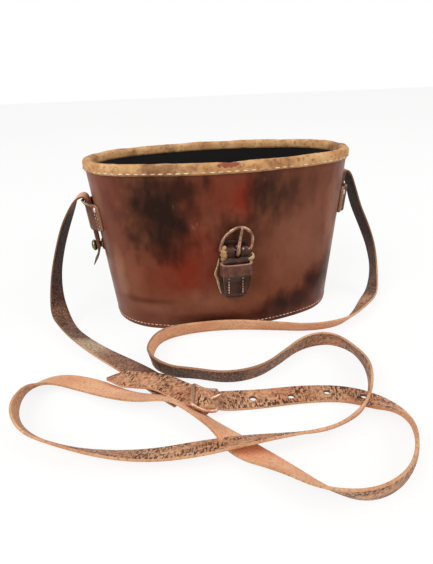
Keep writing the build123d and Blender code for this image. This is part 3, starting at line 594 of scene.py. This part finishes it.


# The sheen colour is a painted highlight on the ends of the wall; the pale colour is partly lighter hide
# and partly painted sheen.
dark, dark_red_and_shadow, plum = (28, 11, 7), (60, 22, 13), (96, 46, 36)
red, ruddy, pale, painted_sheen = (122, 36, 22), (116, 46, 28), (142, 88, 66), (168, 122, 96)
wall_patches = (  # middle, reach, colour and share
    ((-65, -28, 78), (12, 30, 27), plum, 0.7), ((-72, -15, 48), (6, 30, 24), plum, 0.5),
    ((-8, -43, 80), (22, 30, 16), ruddy, 0.7), ((5, -43, 77), (8, 30, 17), red, 0.95),
    ((-20, -42, 62), (18, 30, 26), red, 0.5), ((-28, -41, 39), (24, 30, 23), (122, 42, 26), 0.9),
    ((-48, -37, 30), (13, 30, 13), ruddy, 0.5), ((39, -40, 47), (20, 30, 26), pale, 0.6),
    # Low on the front and at the left end the pale patches are partly lighter hide and partly painted
    # sheen; the sheen patches on the next two lines are painted highlights on both ends.
    ((-10, -43, 17), (30, 30, 9), pale, 1.0), ((-46, -36, 12), (18, 30, 8), pale, 0.8),
    ((-57, -32, 29), (9, 30, 16), pale, 0.6), ((64, -27, 44), (6, 30, 36), painted_sheen, 0.6),
    ((-64, -26, 34), (4, 30, 18), painted_sheen, 0.6), ((-72, -19, 68), (3, 30, 18), painted_sheen, 0.4),
    ((-42, -39, 76), (20, 30, 29), dark, 1.0), ((-36, -40, 66), (19, 30, 22), dark, 1.0),
    ((-36, -40, 52), (17, 30, 12), dark, 0.65), ((-14, -43, 70), (12, 30, 18), dark, 0.35),
    ((-21, -42, 83), (11, 30, 9), dark, 0.7), ((17, -43, 78), (11, 30, 19), dark, 1.0),
    ((29, -42, 78), (16, 30, 15), dark, 0.95), ((-14, -43, 87), (2.4, 30, 7), dark, 0.7),
    # Painted shade: the second patch on this line darkens the wall inside the front buckle's arch.
    ((16, -43, 57), (9, 30, 8), dark_red_and_shadow, 0.4), ((1, -43, 58), (14, 30, 13), dark, 0.9),
    # Painted shadow: the first patch on this line is the buckle's shadow falling to its right; the dark red
    # patches after it make the front darker towards the bottom.
    ((16, -43, 38), (7, 30, 14), dark_red_and_shadow, 0.4), ((26, -42, 5), (26, 30, 9), dark_red_and_shadow, 1.0),
    ((40, -39, 11), (20, 30, 10), dark_red_and_shadow, 1.0), ((54, -33, 19), (14, 30, 12), dark_red_and_shadow, 1.0),
    ((64, -26, 32), (7, 30, 14), dark_red_and_shadow, 0.7), ((30, -41, 11), (10, 30, 8), dark, 0.9),
    ((52, -34, 22), (12, 30, 4), dark, 0.7), ((-10, -43, 5), (28, 30, 5.5), dark_red_and_shadow, 1.0),
    ((-49, -36, 18), (18, 30, 2.4), dark_red_and_shadow, 0.6), ((-50, -35, 8), (14, 30, 5), plum, 0.6),
)
wall_finish = cowhide("case_wall_hide", wall_patches)
hide = cowhide("case_hide")
cloth_shine = {"Sheen_Weight": 0.25, "Specular_IOR_Level": 0.15}
lining_finish, tree, shader = new_finish("black_cloth", Roughness=0.95, **cloth_shine)
threads = {"Vector": place_input(tree), "Scale": 420.0, "Distortion": 0.6}
weft = add(tree, "TexWave", threads, bands_direction="Z").outputs["Fac"]
warp = add(tree, "TexWave", threads, bands_direction="DIAGONAL").outputs["Fac"]
weave = multiply(tree, weft, warp)
colour_with(tree, shader, mix(tree, weave, (14, 12, 12), (40, 35, 33)))
bump(tree, shader, weave, 0.15, 0.6)


def paint(node_name, finish):
    """Gives a node that stays as it is its finish."""
    mesh = nodes[node_name].data
    mesh.materials.clear()
    mesh.materials.append(finish)


paint("body_wall", wall_finish)
for node_name in ("base_pan", "back_seam_strip", "lid_skirt", "lid_top", "lid_welt"):
    paint(node_name, hide)
for node_name in ("base_lining", "wall_lining", "lid_skirt_lining", "lid_top_lining"):
    paint(node_name, lining_finish)


def wall_half_width(height):
    """Half the width of the case at a height."""
    return foot_half_width + (mouth_half_width - foot_half_width) * height / case_height


def end_arc_radius(half_width, depth):
    """Radius of the arcs at the ends of an oval, which meet its long side arcs without a corner."""
    slack = 1 / cos(join_turn) - tan(join_turn)
    return (depth - slack * half_width) / (1 - slack)


def oval_places(height, offset, count, upright=False):
    """Even places round the case's oval at a height: middle, the way along and the way outwards."""
    half_width = (mouth_half_width if upright else wall_half_width(height)) + offset
    depth = half_depth + offset
    end_radius = end_arc_radius(half_width, depth)
    end_centre = half_width - end_radius
    side_centre = end_centre * tan(join_turn)
    side_radius = side_centre + depth
    arcs = [
        ((end_centre, 0), end_radius, -join_turn, join_turn),
        ((0, -side_centre), side_radius, join_turn, pi - join_turn),
        ((-end_centre, 0), end_radius, pi - join_turn, pi + join_turn),
        ((0, side_centre), side_radius, pi + join_turn, 2 * pi - join_turn),
    ]
    around = sum(radius * (end - start) for _, radius, start, end in arcs)
    places = []
    for index in range(count):
        gone = around * index / count
        for (x, y), radius, start, end in arcs:
            if gone <= radius * (end - start):
                break
            gone -= radius * (end - start)
        turn = start + gone / radius
        outward = Vector((cos(turn), sin(turn), 0))
        middle = Vector((x, y, height)) + outward * radius
        places.append((middle, Vector((-sin(turn), cos(turn), 0)), outward))
    return places


stitch_row("base_stitches", oval_places(height=2.4, offset=0.05, count=148), length=1.9)

# ---------------------------------------------------------------- rim binding
# A strip of soft tan hide folded over the mouth and sewn through with one row of stitches. Its top
# is scuffed, and near the middle of the front its surface is torn away down to the red core.

binding_finish, tree, shader = new_finish("binding_hide", Roughness=0.7, Specular_IOR_Level=0.35)
worn = mix(tree, blotches(tree, 9, 5, 0.35, 0.65), (190, 136, 84), (222, 176, 122))
worn = mix(tree, blotches(tree, 2.2, 4, 0.52, 0.7, 0, 0.75), worn, (130, 84, 52))
worn = mix(tree, blotches(tree, 16, 4, 0.52, 0.64, 0, 0.7, centre=(9, 2, 4)), worn, (112, 70, 42))
torn = patch(tree, (-1.5, -42, 95.0), (8.5, 9, 2.2), blotches(tree, 3, 4, 0.3, 0.7, -0.3, 0.3), (0.6, 0.8))
worn = mix(tree, torn, worn, (142, 74, 48))
colour_with(tree, shader, worn)
bump(tree, shader, grain(tree, 1.5, 4), 0.4, 0.6)
bump(tree, shader, grain(tree, 7, 3), 0.8, 0.5)

ring_count = 260
binding_section = (  # out from the wall's face, and height
    (0, 90.6), (0.75, 90.55), (1, 91.6), (1.05, 93.6), (0.8, 95.2), (0.1, 96), (-1.3, 96.35), (-2.8, 96.2),
    (-3.7, 95.5), (-4.1, 94.2), (-4.15, 92.4), (-4.05, 91.2), (-3.1, 91.1), (-3.05, 93), (-3, 94.6),
    (0, 94.8),
)
binding = bmesh.new()
rings = []
for step, (offset, height) in enumerate(binding_section):
    ring = bmesh.ops.create_circle(binding, segments=ring_count, radius=1.0)["verts"]
    for vertex, (middle, along, outward) in zip(ring, oval_places(height, offset, ring_count)):
        uneven = noise.noise(Vector((middle.x * 0.09, middle.y * 0.09, step * 0.35)))
        fine = noise.noise(Vector((middle.x * 0.4, middle.y * 0.4, step * 0.9 + 7)))
        outer = 1.0 if 1 <= step <= 8 else 0.0
        torn_here = max(0.0, 1 - abs(middle.x + 1) / 11) if middle.y < 0 and 4 <= step <= 8 else 0.0
        shift = outward * (uneven * 0.3 + fine * 0.12) * outer
        lift = Vector((0, 0, uneven * 0.35 + fine * 0.15 - torn_here * (0.5 + fine))) * outer
        vertex.co = (middle + shift + lift) * mm
    rings.append(list({edge for vertex in ring for edge in vertex.link_edges}))
for first, second in zip(rings, rings[1:] + rings[:1]):
    bmesh.ops.bridge_loops(binding, edges=first + second)
bmesh.ops.recalc_face_normals(binding, faces=binding.faces)
binding_piece = make_piece("rim_binding_rolled", binding, (binding_finish,))
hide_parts("rim_binding")

stitch_row("rim_stitches", oval_places(height=91.7, offset=1.05, count=92), length=2.9, thickness=0.75)

# ---------------------------------------------------------------- front buckle
# A leather backing is sewn low on the front. Over it a chape is folded round the bar of a horseshoe
# buckle of rolled, coppery wire and sewn down, and a leather keeper is caught under the chape.

backing_thickness = 1.2
chape_thickness = 1.6
bar_height = 50.0
bar_out = 3.95
wire_radius = 1.0


def front(x, out, z):
    """A point given by its distance out from the front wall."""
    return Vector((x, -half_depth - out, z))


def strap_piece(
    name, route, widths, thickness, finishes, body="case", width_way=(1, 0, 0), cyclic=False, columns=6,
    edge=0.35, crown=0.0,
):
    """A flat strip of leather whose middle follows a route and whose width points one way."""
    middle = smooth_line(route, cyclic)
    if cyclic:
        middle.append(middle[0].copy())
    if isinstance(widths, (int, float)):
        here = [widths] * len(middle)
    else:
        here = [point.x for point in smooth_line([(w, i, 0) for i, w in enumerate(widths)])]
    sides = [point + Vector(width_way) * width / 2 for point, width in zip(middle, here)]
    made = make_piece(name, strip_shape(middle, sides, here, columns, cyclic, crown), finishes, None)
    thicken(made, thickness, edge)
    if body:
        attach(made, body)
    return made


def worn_hide(name, dark, light, roughness, painted_highlight=None):
    """Small leatherwork: dark glazed hide, finely creased, rubbed lighter in places, and given a pale
    painted highlight along the top of a fold where one is given.
    """
    finish, tree, shader = new_finish(name, Roughness=roughness, Specular_IOR_Level=0.35)
    rubbed = mix(tree, blotches(tree, 6, 4, 0.38, 0.68), dark, light)
    rubbed = mix(tree, blotches(tree, 1.3, 4, 0.5, 0.75, 0, 0.5), rubbed, [c // 2 for c in dark])
    if painted_highlight:
        # A painted highlight: pale colour with a ragged edge along the top of the fold.
        wander = blotches(tree, 2.4, 3, 0.4, 0.62, 1, -0.4, stretch=(1, 0.5, 0.5))
        rubbed = mix(tree, patch(tree, *painted_highlight, wander, (0.5, 0.9)), rubbed, (226, 206, 190))
    colour_with(tree, shader, rubbed)
    bump(tree, shader, grain(tree, 0.8, 3), 0.2, 0.6)
    bump(tree, shader, grain(tree, 4, 3), 0.5, 0.5)
    return finish


# Where the chape's fold tops the bar it gets a painted highlight.
chape_painted_highlight = ((0, -49, 51.4), (5.8, 1.4, 0.9))
chape_hide = worn_hide("chape_hide", (50, 28, 19), (88, 54, 38), 0.26, painted_highlight=chape_painted_highlight)
keeper_hide = worn_hide("keeper_hide", (74, 44, 34), (122, 82, 64), 0.32)
small_edge = suede_finish("small_leather_edge", (158, 112, 88), (190, 146, 118), (96, 62, 46))
torn_edge = suede_finish("torn_leather_edge", (196, 164, 128), (222, 196, 158), (150, 110, 78))

backing_route = [front(0, 0.75, z) for z in (20.3, 22, 26, 33, 40, 46, 51, 54, 54.9)]
backing_widths = [9, 12, 17.2, 18.6, 18.8, 18.2, 16, 13.6, 12.5]
backing = strap_piece(
    "buckle_backing_leather", backing_route, backing_widths, backing_thickness, (chape_hide,) * 3
)
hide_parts("buckle_backing")

# The backing's left edge has lifted away from the wall and its raw inside shows pale
lifted_places = (
    (-8.6, 0.9, 46), (-8.8, 1.2, 43), (-10.2, 2.0, 39.5), (-11.4, 2.6, 36.8), (-10.2, 2.2, 33.6),
    (-9.6, 2.2, 30.5), (-9.0, 1.6, 27), (-8.0, 1.0, 23.5),
)
lifted_route = [front(*place) for place in lifted_places]
lifted_widths = [0.6, 1.2, 1.3, 1.9, 1.4, 1.7, 1.1, 0.6]
lifted = strap_piece(
    "buckle_backing_lifted_edge", lifted_route, lifted_widths, 0.6, (torn_edge,) * 3,
    width_way=(-0.75, -0.66, 0), columns=3, edge=0.2,
)

chape_back = backing_thickness + 0.1 + chape_thickness / 2
chape_front = bar_out + wire_radius + 0.05 + chape_thickness / 2
chape_low = chape_back + chape_thickness + 0.05
over_keeper = chape_back + chape_thickness + 1.5
chape_heights = (
    (chape_back, 24.5), (chape_back, 36), (chape_back, 47), (chape_back, 50.6),
    (chape_back + 0.35, 52.2), (bar_out + 0.1, 52.15), (chape_front + 0.15, 51.7),
    (chape_front + 0.3, 49.6), (chape_front - 0.7, 47.7), (chape_low + 0.25, 46.8),
    (chape_low + 0.2, 45.6), (over_keeper, 44.2), (over_keeper, 40), (over_keeper, 36.4),
    (chape_low + 0.2, 33.2), (chape_low, 28), (chape_low, 23.2),
)
chape_route = [front(0, out, z) for out, z in chape_heights]
chape_widths = [12, 14, 13.6, 12.8, 12.4, 12.4, 12.8, 13.2, 13.4, 13.6, 13.8, 14, 14, 14, 14, 13.4, 12.2]
chape = strap_piece(
    "buckle_chape_leather", chape_route, chape_widths, chape_thickness,
    (chape_hide, chape_hide, small_edge), None, crown=0.25,
)
prong_slot = bmesh.new()
slot_size = Matrix.Diagonal((3.4 * mm, 9 * mm, 8.8 * mm, 1))
slot_place = Matrix.Translation(front(0.9, 4, bar_height) * mm)
bmesh.ops.create_cube(prong_slot, size=1.0, matrix=slot_place @ slot_size)
bmesh.ops.bevel(
    prong_slot, geom=prong_slot.edges, offset=1.2 * mm, affect="EDGES", segments=3, profile=0.5, material=-1
)
cut_out(chape, prong_slot)
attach(chape, "case")
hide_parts("buckle_chape")

# The fold is frayed to raw fibres beside the left leg of the buckle, and curls up at the right one
random.seed(5)
frayed_hide = suede_finish("frayed_hide", (150, 104, 66), (214, 170, 118), (72, 42, 28))
for name, drift, width_way in (
    ("buckle_chape_frayed_end", 0.0, (1, 0.15, 0.1)),
    ("buckle_chape_frayed_fibres", -1.0, (0.95, -0.35, -0.3)),
):
    frayed_route = []
    for step in range(13):
        z = 53.4 - step * 0.68
        out = 5.1 + 1.5 * sin(pi * step / 12) + 0.35 * random.uniform(-1, 1)
        frayed_route.append(front(-6.5 + drift * step / 12 + 0.3 * random.uniform(-1, 1), out, z))
    frayed_widths = [
        (0.9 + 2.1 * sin(pi * (step + 0.6) / 13.2)) * random.uniform(0.7, 1.25) for step in range(13)
    ]
    frayed = strap_piece(
        name, frayed_route, frayed_widths, 0.5, (frayed_hide, frayed_hide, torn_edge), width_way=width_way,
        columns=4, edge=0.15, crown=0.3,
    )
curled_places = ((6.9, 5.4, 44.8), (8.4, 6.1, 45.2), (9.7, 6.2, 46.4), (9.6, 5.4, 47.7), (8.5, 4.9, 47.7))
curled = strap_piece(
    "buckle_chape_curled_end", [front(*place) for place in curled_places], [1.6, 2.6, 2.8, 2.2, 1.2], 0.6,
    (torn_edge, keeper_hide, torn_edge), width_way=(-0.3, -0.5, 0.8), columns=3, edge=0.2,
)


def straight_places(start, end, count, outward):
    """Places for stitches between two points."""
    start, end = Vector(start), Vector(end)
    return [(start.lerp(end, (i + 0.5) / count), end - start, Vector(outward)) for i in range(count)]


chape_stitch_places = []
for x in (-4.1, 3.8):
    low_row = front(x, chape_low + 0.85, 24.4), front(x, chape_low + 0.95, 32.4)
    high_row = front(x, chape_low + 1.0, 32.8), front(x, over_keeper + 0.85, 36.8)
    chape_stitch_places += straight_places(*low_row, count=5, outward=(0, -1, 0))
    chape_stitch_places += straight_places(*high_row, count=2, outward=(0, -1, 0.6))
stitch_row("chape_stitches", chape_stitch_places, length=1.35, thickness=0.62)

keeper_width, keeper_thickness = 6.4, 1.5
keeper_middle = 40.4
keeper_back = chape_back + (chape_thickness + keeper_thickness) / 2 + 0.05
keeper_front = over_keeper + (chape_thickness + keeper_thickness) / 2 + 2.9  # room for the closing strap
keeper_halfway = (keeper_back + keeper_front) / 2
keeper_reach = 8.25
keeper_round = (
    (0, keeper_back), (5, keeper_back), (keeper_reach - 0.1, keeper_back + 0.1),
    (keeper_reach, keeper_back + 2.2), (keeper_reach, keeper_halfway), (keeper_reach, keeper_front - 2.6),
    (keeper_reach - 1.0, keeper_front - 0.4), (5, keeper_front + 0.15), (0, keeper_front + 0.25),
    (-5, keeper_front + 0.1), (1.0 - keeper_reach, keeper_front - 0.4), (-keeper_reach, keeper_front - 2.6),
    (-keeper_reach, keeper_halfway), (-keeper_reach, keeper_back + 2.2),
    (0.1 - keeper_reach, keeper_back + 0.1), (-5, keeper_back),
)
keeper_route = [front(x, out, keeper_middle) for x, out in keeper_round]
keeper = strap_piece(
    "buckle_keeper_leather", keeper_route, keeper_width, keeper_thickness,
    (keeper_hide, chape_hide, small_edge), width_way=(0, 0, -1), cyclic=True, edge=0.45,
)
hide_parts("buckle_keeper")


def tube(name, points, radius, finish, body, cyclic=False, taper=None):
    """Round wire along a smooth line, closed at its ends, thinner where taper says."""
    mesh = curve_mesh([Vector(point) * mm for point in points], cyclic, 10, radius * mm, taper)
    wire = bmesh.new()
    wire.from_mesh(mesh)
    bpy.data.meshes.remove(mesh)
    return make_piece(name, wire, (finish,), body)


def metal(name, bright, dull, tarnish, roughness=0.34):
    """Old brass or copper: rubbed bright where it is handled, brown and pitted elsewhere."""
    finish, tree, shader = new_finish(name, Metallic=0.85)
    surface = mix(tree, blotches(tree, 3.2, 4, 0.36, 0.62), dull, bright)
    pits = blotches(tree, 0.8, 5, 0.52, 0.68, centre=(2, 2, 2))
    surface = mix(tree, multiply(tree, pits, 0.85), surface, tarnish)
    colour_with(tree, shader, surface)
    tree.links.new(steps(tree, pits, 0, 1, roughness, roughness + 0.3), shader.inputs["Roughness"])
    bump(tree, shader, pits, -0.12, 0.6)
    return finish


buckle_finish = metal("coppery_wire", (186, 148, 124), (128, 88, 70), (62, 40, 32))
arch_reach = 8.5 / cos(radians(11))
arch_foot = 53.2
arch_lean = 0.22  # the arch is bent a little to the right
horseshoe = [(0, 50), (5.0, 50), (8.2, 50.1), (8.55, 51.8), (8.5, 53.6)]
for turn in (20, 45, 70, 90, 110, 135, 160):
    rise = 1.1 * arch_reach * sin(radians(turn))
    horseshoe.append((arch_reach * cos(radians(turn)), arch_foot + rise))
horseshoe += [(-8.5, 53.6), (-8.55, 51.8), (-8.2, 50.1), (-5.0, 50)]
horseshoe = [front(x + arch_lean * (z - bar_height), bar_out, z) for x, z in horseshoe]
arch = tube("buckle_horseshoe", horseshoe, wire_radius, buckle_finish, "buckle_frame", cyclic=True)
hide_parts("buckle_frame")

prong_wire = (  # x, out from the bar, height and thickness of the wire
    (0.9, -0.3, 52.0, 0.7), (0.9, -1.4, 51.0, 0.7), (0.9, -1.5, 49.2, 0.8), (0.9, -0.7, 48.1, 1.1),
    (0.9, 1.2, 47.6, 1.3), (1.0, 2.6, 49.2, 1.4), (1.2, 2.5, 51.2, 1.15), (1.8, 2.0, 54.0, 1.0),
    (2.6, 1.85, 58.0, 0.95), (3.4, 1.9, 62.0, 0.9), (3.6, 1.8, 63.2, 0.6),
)
prong_points = [front(x, bar_out + out, z) for x, out, z, share in prong_wire]
prong_taper = [share for x, out, z, share in prong_wire]
prong = tube("buckle_prong_wire", prong_points, 0.95, buckle_finish, "buckle_prong", taper=prong_taper)
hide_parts("buckle_prong")

# ---------------------------------------------------------------- lid
# A moulded lid of the same hide: a deep skirt, a flat top sewn on through a welt, and a black cloth
# lining. It hangs open behind the case on a hinge of soft leather fixed to both.

lid_low, lid_high = 83.0, 113.0  # of the shut lid
lid_outer = 4.4
lid_open = radians(-183)
hinge_line = Matrix.Translation((0, 47.6, lid_low))
lid_swing = hinge_line @ Matrix.Rotation(lid_open, 4, "X") @ hinge_line.inverted()
lid_turn = lid_swing.to_3x3()


def on_lid(places):
    """Places on the shut lid, carried round to where the open lid hangs."""
    return [(lid_swing @ middle, lid_turn @ along, lid_turn @ outward) for middle, along, outward in places]


welt_places = on_lid(oval_places(lid_high - 3.4, lid_outer, count=120, upright=True))
stitch_row("lid_welt_stitches", welt_places, length=2.2, thickness=0.6, body="lid")
edge_places = on_lid(oval_places(lid_low + 2.6, lid_outer, count=118, upright=True))
stitch_row("lid_edge_stitches", edge_places, length=2.3, thickness=0.6, body="lid")

hinge_width = 64
hinge_places = (
    (43.95, 61.6), (43.95, 66), (43.95, 72), (43.95, 78), (44.1, 82.4), (45.2, 84.9), (46.5, 83.9),
    (46.95, 81), (46.75, 74), (46.4, 68), (46.1, 62.2),
)
hinge_sheet = strap_piece(
    "hinge_leather", [(0, y, z) for y, z in hinge_places], hinge_width, 1.3, (hide, hide, small_edge), None,
    width_way=(-1, 0, 0), columns=24,
)
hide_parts("hinge_body_leaf", "hinge_lid_leaf")
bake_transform(hinge_sheet)

seam_places = []
for x in (-5.6, 5.6):
    low_end, high_end = (x, half_depth + 1.45, 4), (x, half_depth + 1.45, 58)
    seam_places += straight_places(low_end, high_end, count=18, outward=(0, 1, 0))
stitch_row("back_seam_stitches", seam_places, length=2.1, thickness=0.6)

# ---------------------------------------------------------------- closing strap
# A pointed billet of glazed hide, riveted to the lid and punched for the front buckle. With the lid
# open it lies folded back over its own root.


def on_shut_lid(x, out, z):
    """A point of the shut lid's front, carried round to the open lid."""
    return lid_swing @ front(x, out, z)


fold_knuckle = on_shut_lid(0, lid_outer + 3.7, lid_low + 2.5)
billet_turn = lid_open - radians(145)
billet_down = Matrix.Rotation(billet_turn, 3, "X") @ Vector((0, 0, -1))
billet_out = Matrix.Rotation(billet_turn, 3, "X") @ Vector((0, -1, 0))
billet_base = fold_knuckle - billet_out * 2.2
root_places = [(1.15, z) for z in (110, 106, 99, 93, 88.5)] + [(1.6, 85.2), (2.9, 83.2)]
closing_route = [on_shut_lid(0, lid_outer + out, z) for out, z in root_places]
closing_route += [billet_base + billet_down * far for far in (1.5, 6, 14, 24, 34, 42, 47, 52)]
closing_widths = [3, 12.6] + [14] * 10 + [13.6, 9.5, 3]
billet = strap_piece(
    "closing_strap_billet", closing_route, closing_widths, 2.1, (chape_hide, small_edge, small_edge), None,
    edge=0.5,
)
punch_turn = billet_out.to_track_quat("Z", "Y").to_matrix().to_4x4()
billet_holes = [billet_base + billet_down * far for far in (16, 24, 32, 40)]
billet_holes = [Matrix.Translation(hole * mm) @ punch_turn for hole in billet_holes]
cut_out(billet, punched(billet_holes, radius=1.4, depth=8, segments=18), folded=True)
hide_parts("closing_strap", "closing_strap_root")
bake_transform(billet)


def turned(shape, profile, seat, outward, side_way, count):
    """Adds a part turned on a lathe: its profile of radii and heights, spun round its axis."""
    drawn = [shape.verts.new((seat + side_way * x + outward * out) * mm) for x, out in profile]
    lines = [shape.edges.new(pair) for pair in zip(drawn, drawn[1:])]
    bmesh.ops.spin(
        shape, geom=drawn + lines, cent=seat * mm, axis=outward, angle=2 * pi, steps=count, use_merge=True
    )


def dome(name, places, radius, height, finish, body):
    """Domed rivet heads: each place is a seat and the way that the head faces."""
    profile = [
        (radius * 0.96, -0.3), (radius, 0.15 * height), (radius * 0.9, 0.5 * height),
        (radius * 0.62, 0.85 * height), (radius * 0.25, height), (0, height),
    ]
    heads = bmesh.new()
    for seat, outward in places:
        outward = Vector(outward).normalized()
        side_way = outward.to_track_quat("Z", "Y") @ Vector((1, 0, 0))
        turned(heads, profile, Vector(seat), outward, side_way, 20)
    bmesh.ops.remove_doubles(heads, verts=heads.verts, dist=0.00001)
    bmesh.ops.recalc_face_normals(heads, faces=heads.faces)
    return make_piece(name, heads, (finish,), body)


root_seats = [(on_shut_lid(0, lid_outer + 2.15, z), lid_turn @ Vector((0, -1, 0))) for z in (92.9, 103.9)]
root_rivets = dome("closing_strap_rivet_heads", root_seats, 2.4, 1.0, buckle_finish, "lid")
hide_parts("closing_strap_rivets")

# ---------------------------------------------------------------- side fittings
# Each end of the strap is held in a loop of hide, riveted and sewn to the wall at both ends. On the
# left the strap's tail is buttoned on a brass stud below the loop; on the right it is riveted.

stud_finish = metal("greenish_brass", (168, 158, 120), (120, 108, 76), (64, 66, 44), 0.3)
loop_middle = 64.25
wall_lean = atan2(mouth_half_width - foot_half_width, case_height)
loop_hide = worn_hide("loop_hide", (84, 48, 36), (128, 82, 62), 0.4)
end_radius = end_arc_radius(wall_half_width(loop_middle), half_depth)


def beside(side, turn, out, height):
    """A point beside an end wall: turned round its end arc, out from it, at a height on it."""
    reach = wall_half_width(loop_middle) - end_radius + (end_radius + out) * cos(radians(turn))
    rise = height - loop_middle
    x = side * (reach + rise * sin(wall_lean))
    return Vector((x, (end_radius + out) * sin(radians(turn)), loop_middle + rise * cos(wall_lean)))


def facing(side, turn):
    """The way out from an end wall, turned round its end arc."""
    return Vector((side * cos(radians(turn)), sin(radians(turn)), 0))


loop_rivet_finish = metal("loop_rivet_metal", (230, 216, 204), (176, 150, 132), (104, 80, 66), 0.3)
half_loop = [  # turn round the end arc, out from the wall, and width of the loop
    (28.5, 1, 13), (25, 1, 15.2), (20.5, 1.1, 15.5), (17.5, 1.7, 15.5), (15.5, 3.6, 15.5), (9, 4.4, 15.3),
]
loop_places = [(-turn, out, width) for turn, out, width in half_loop] + [(0, 4.5, 15.2)] + half_loop[::-1]
loop_widths = [width for turn, out, width in loop_places]
for side, side_name in ((-1, "left"), (1, "right")):
    loop_route = [beside(side, turn, out, loop_middle) for turn, out, width in loop_places]
    up = Vector((side * sin(wall_lean), 0, cos(wall_lean)))
    loop = strap_piece(
        f"strap_loop_{side_name}_leather", loop_route, loop_widths, 1.7, (loop_hide, loop_hide, small_edge),
        width_way=up * side, edge=0.4,
    )
    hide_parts(f"strap_loop_{side_name}")
    seam_places = []
    rivet_places = []
    for y_side in (-1, 1):
        for turn in (y_side * 21.6, y_side * 26.9):
            for step in range(5):
                middle = beside(side, turn, 1.9, loop_middle - 6.2 + step * 2.1)
                seam_places.append((middle, up, facing(side, turn)))
        turn = y_side * 24.3
        rivet_places.append((beside(side, turn, 1.85, loop_middle + 5.3), facing(side, turn)))
    stitch_row(f"loop_stitches_{side_name}", seam_places, length=1.5, thickness=0.5)
    rivets = dome(f"loop_rivet_heads_{side_name}", rivet_places, 1.7, 0.9, loop_rivet_finish, "case")
    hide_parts(f"loop_rivets_{side_name}")

# The upper rim of the left loop has curled outwards and its raw edge has been rubbed pale
lip_places = (
    (-19, 2.0, 70.8), (-16, 4.0, 71.6), (-11, 5.6, 72.2), (-4, 6.2, 72.4), (3, 5.9, 72.2), (9, 5.0, 71.8),
)
lip_route = [beside(-1, *place) for place in lip_places]
lip = strap_piece(
    "strap_loop_left_curled_lip", lip_route, [0.9, 1.5, 1.9, 2.0, 1.6, 0.8], 0.8,
    (small_edge, loop_hide, torn_edge), width_way=(-0.6, 0.2, 0.75), columns=3, edge=0.25,
)

stud_height = 44.5
stud_out = Vector((-cos(wall_lean), 0, -sin(wall_lean)))
stud_seat = Vector((-wall_half_width(stud_height), 0, stud_height))
stud_profile = (
    (0.02, 0.1), (3.4, 0.1), (3.7, 0.4), (3.4, 0.8), (2.0, 1.2), (1.7, 2.4), (1.8, 4.2), (2.7, 4.5),
    (3.3, 5.1), (3.45, 5.8), (2.9, 6.7), (1.6, 7.2), (0.02, 7.3),
)
stud = bmesh.new()
turned(stud, stud_profile, stud_seat, stud_out, Vector((0, 1, 0)), 28)
bmesh.ops.remove_doubles(stud, verts=stud.verts, dist=0.00003)
bmesh.ops.recalc_face_normals(stud, faces=stud.faces)
stud_piece = make_piece("strap_stud_turned", stud, (stud_finish,))
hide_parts("strap_stud_left")
rivet_height = 74.3
rivet_out = Vector((cos(wall_lean), 0, -sin(wall_lean)))
rivet_seat = Vector((wall_half_width(rivet_height), 0, rivet_height)) + rivet_out * 2.9
right_rivet = dome("strap_rivet_right_head", [(rivet_seat, rivet_out)], 2.2, 0.9, stud_finish, "case")
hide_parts("strap_rivet_right")

# ---------------------------------------------------------------- strap buckle
# A bowed rectangular frame of wire with a bar across its middle. The short strap's pared end is
# folded round the bar and lies back over the strap as a flap; the long strap is threaded through.

buckle_turn = Matrix.Translation(Vector((-28.0, -111.4, 0))) @ Matrix.Rotation(radians(-10), 4, "Z")
strap_metal = metal("rubbed_copper", (222, 184, 156), (196, 150, 122), (140, 98, 76), 0.42)


def in_buckle(x, y, z):
    """A point given along, across and above the middle of the strap's buckle."""
    return buckle_turn @ Vector((x, y, z))


strap_bar_height = 4.2
half_frame = (
    (-5.3, 4.4, 8.4), (-5.2, 6.8, 8.3), (-3.4, 6.9, 7), (-1.6, 6.9, 5.9), (0, 6.9, 5.2), (1.8, 6.9, 4.9),
    (3.6, 6.9, 4.8), (5.2, 6.8, 4.9), (5.3, 4.4, 4.9),
)
frame_route = [in_buckle(x, y, z) for x, y, z in half_frame]
frame_route += [in_buckle(x, -y, z) for x, y, z in reversed(half_frame)]
strap_frame = tube("strap_buckle_wire", frame_route, 0.9, strap_metal, "case", cyclic=True)
bar_route = [in_buckle(0, y, strap_bar_height) for y in (-6.9, -3, 3, 6.9)]
strap_bar = tube("strap_buckle_bar", bar_route, 0.8, strap_metal, "case")
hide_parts("strap_buckle")
prong_rise = radians(28.7)
coil = ((-0.6, 5.3), (-1.5, 3.9), (-0.9, 2.4), (0.8, 2.3), (1.6, 3.9))
pin = [(far * cos(prong_rise), strap_bar_height + far * sin(prong_rise)) for far in (3.4, 4.6, 6, 7.4, 8.2)]
strap_prong = tube(
    "strap_buckle_prong_wire", [in_buckle(x, 0, z) for x, z in (*coil, *pin)], 0.7, strap_metal,
    "strap_prong", taper=[0.8, 0.9, 1, 1, 1, 1.15, 1.15, 1.05, 0.9, 0.6],
)
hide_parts("strap_buckle_prong")

flap_places = (
    (-10.5, 5.2, 1.4), (-7.5, 3.4, 1.5), (-4.2, 1.4, 1.9), (-1.5, 0.2, 2.1), (1, 0, 2.2), (1.8, 0, 3.8),
    (1, 0, 5.3), (-1.2, 0, 5.3), (-3.2, 0.4, 4.7), (-6, 1.6, 3.8), (-10, 3.6, 2.9), (-13, 5.4, 2.4),
)
flap_widths = [strap_width] * 10 + [11.6, 9.5]
flap = strap_piece(
    "strap_buckle_flap", [in_buckle(*place) for place in flap_places], flap_widths, 1.0,
    (strap_flesh, strap_flesh, strap_edge), width_way=buckle_turn.to_3x3() @ Vector((0, 1, 0)), edge=0.25,
)
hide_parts("strap_buckle_fold")
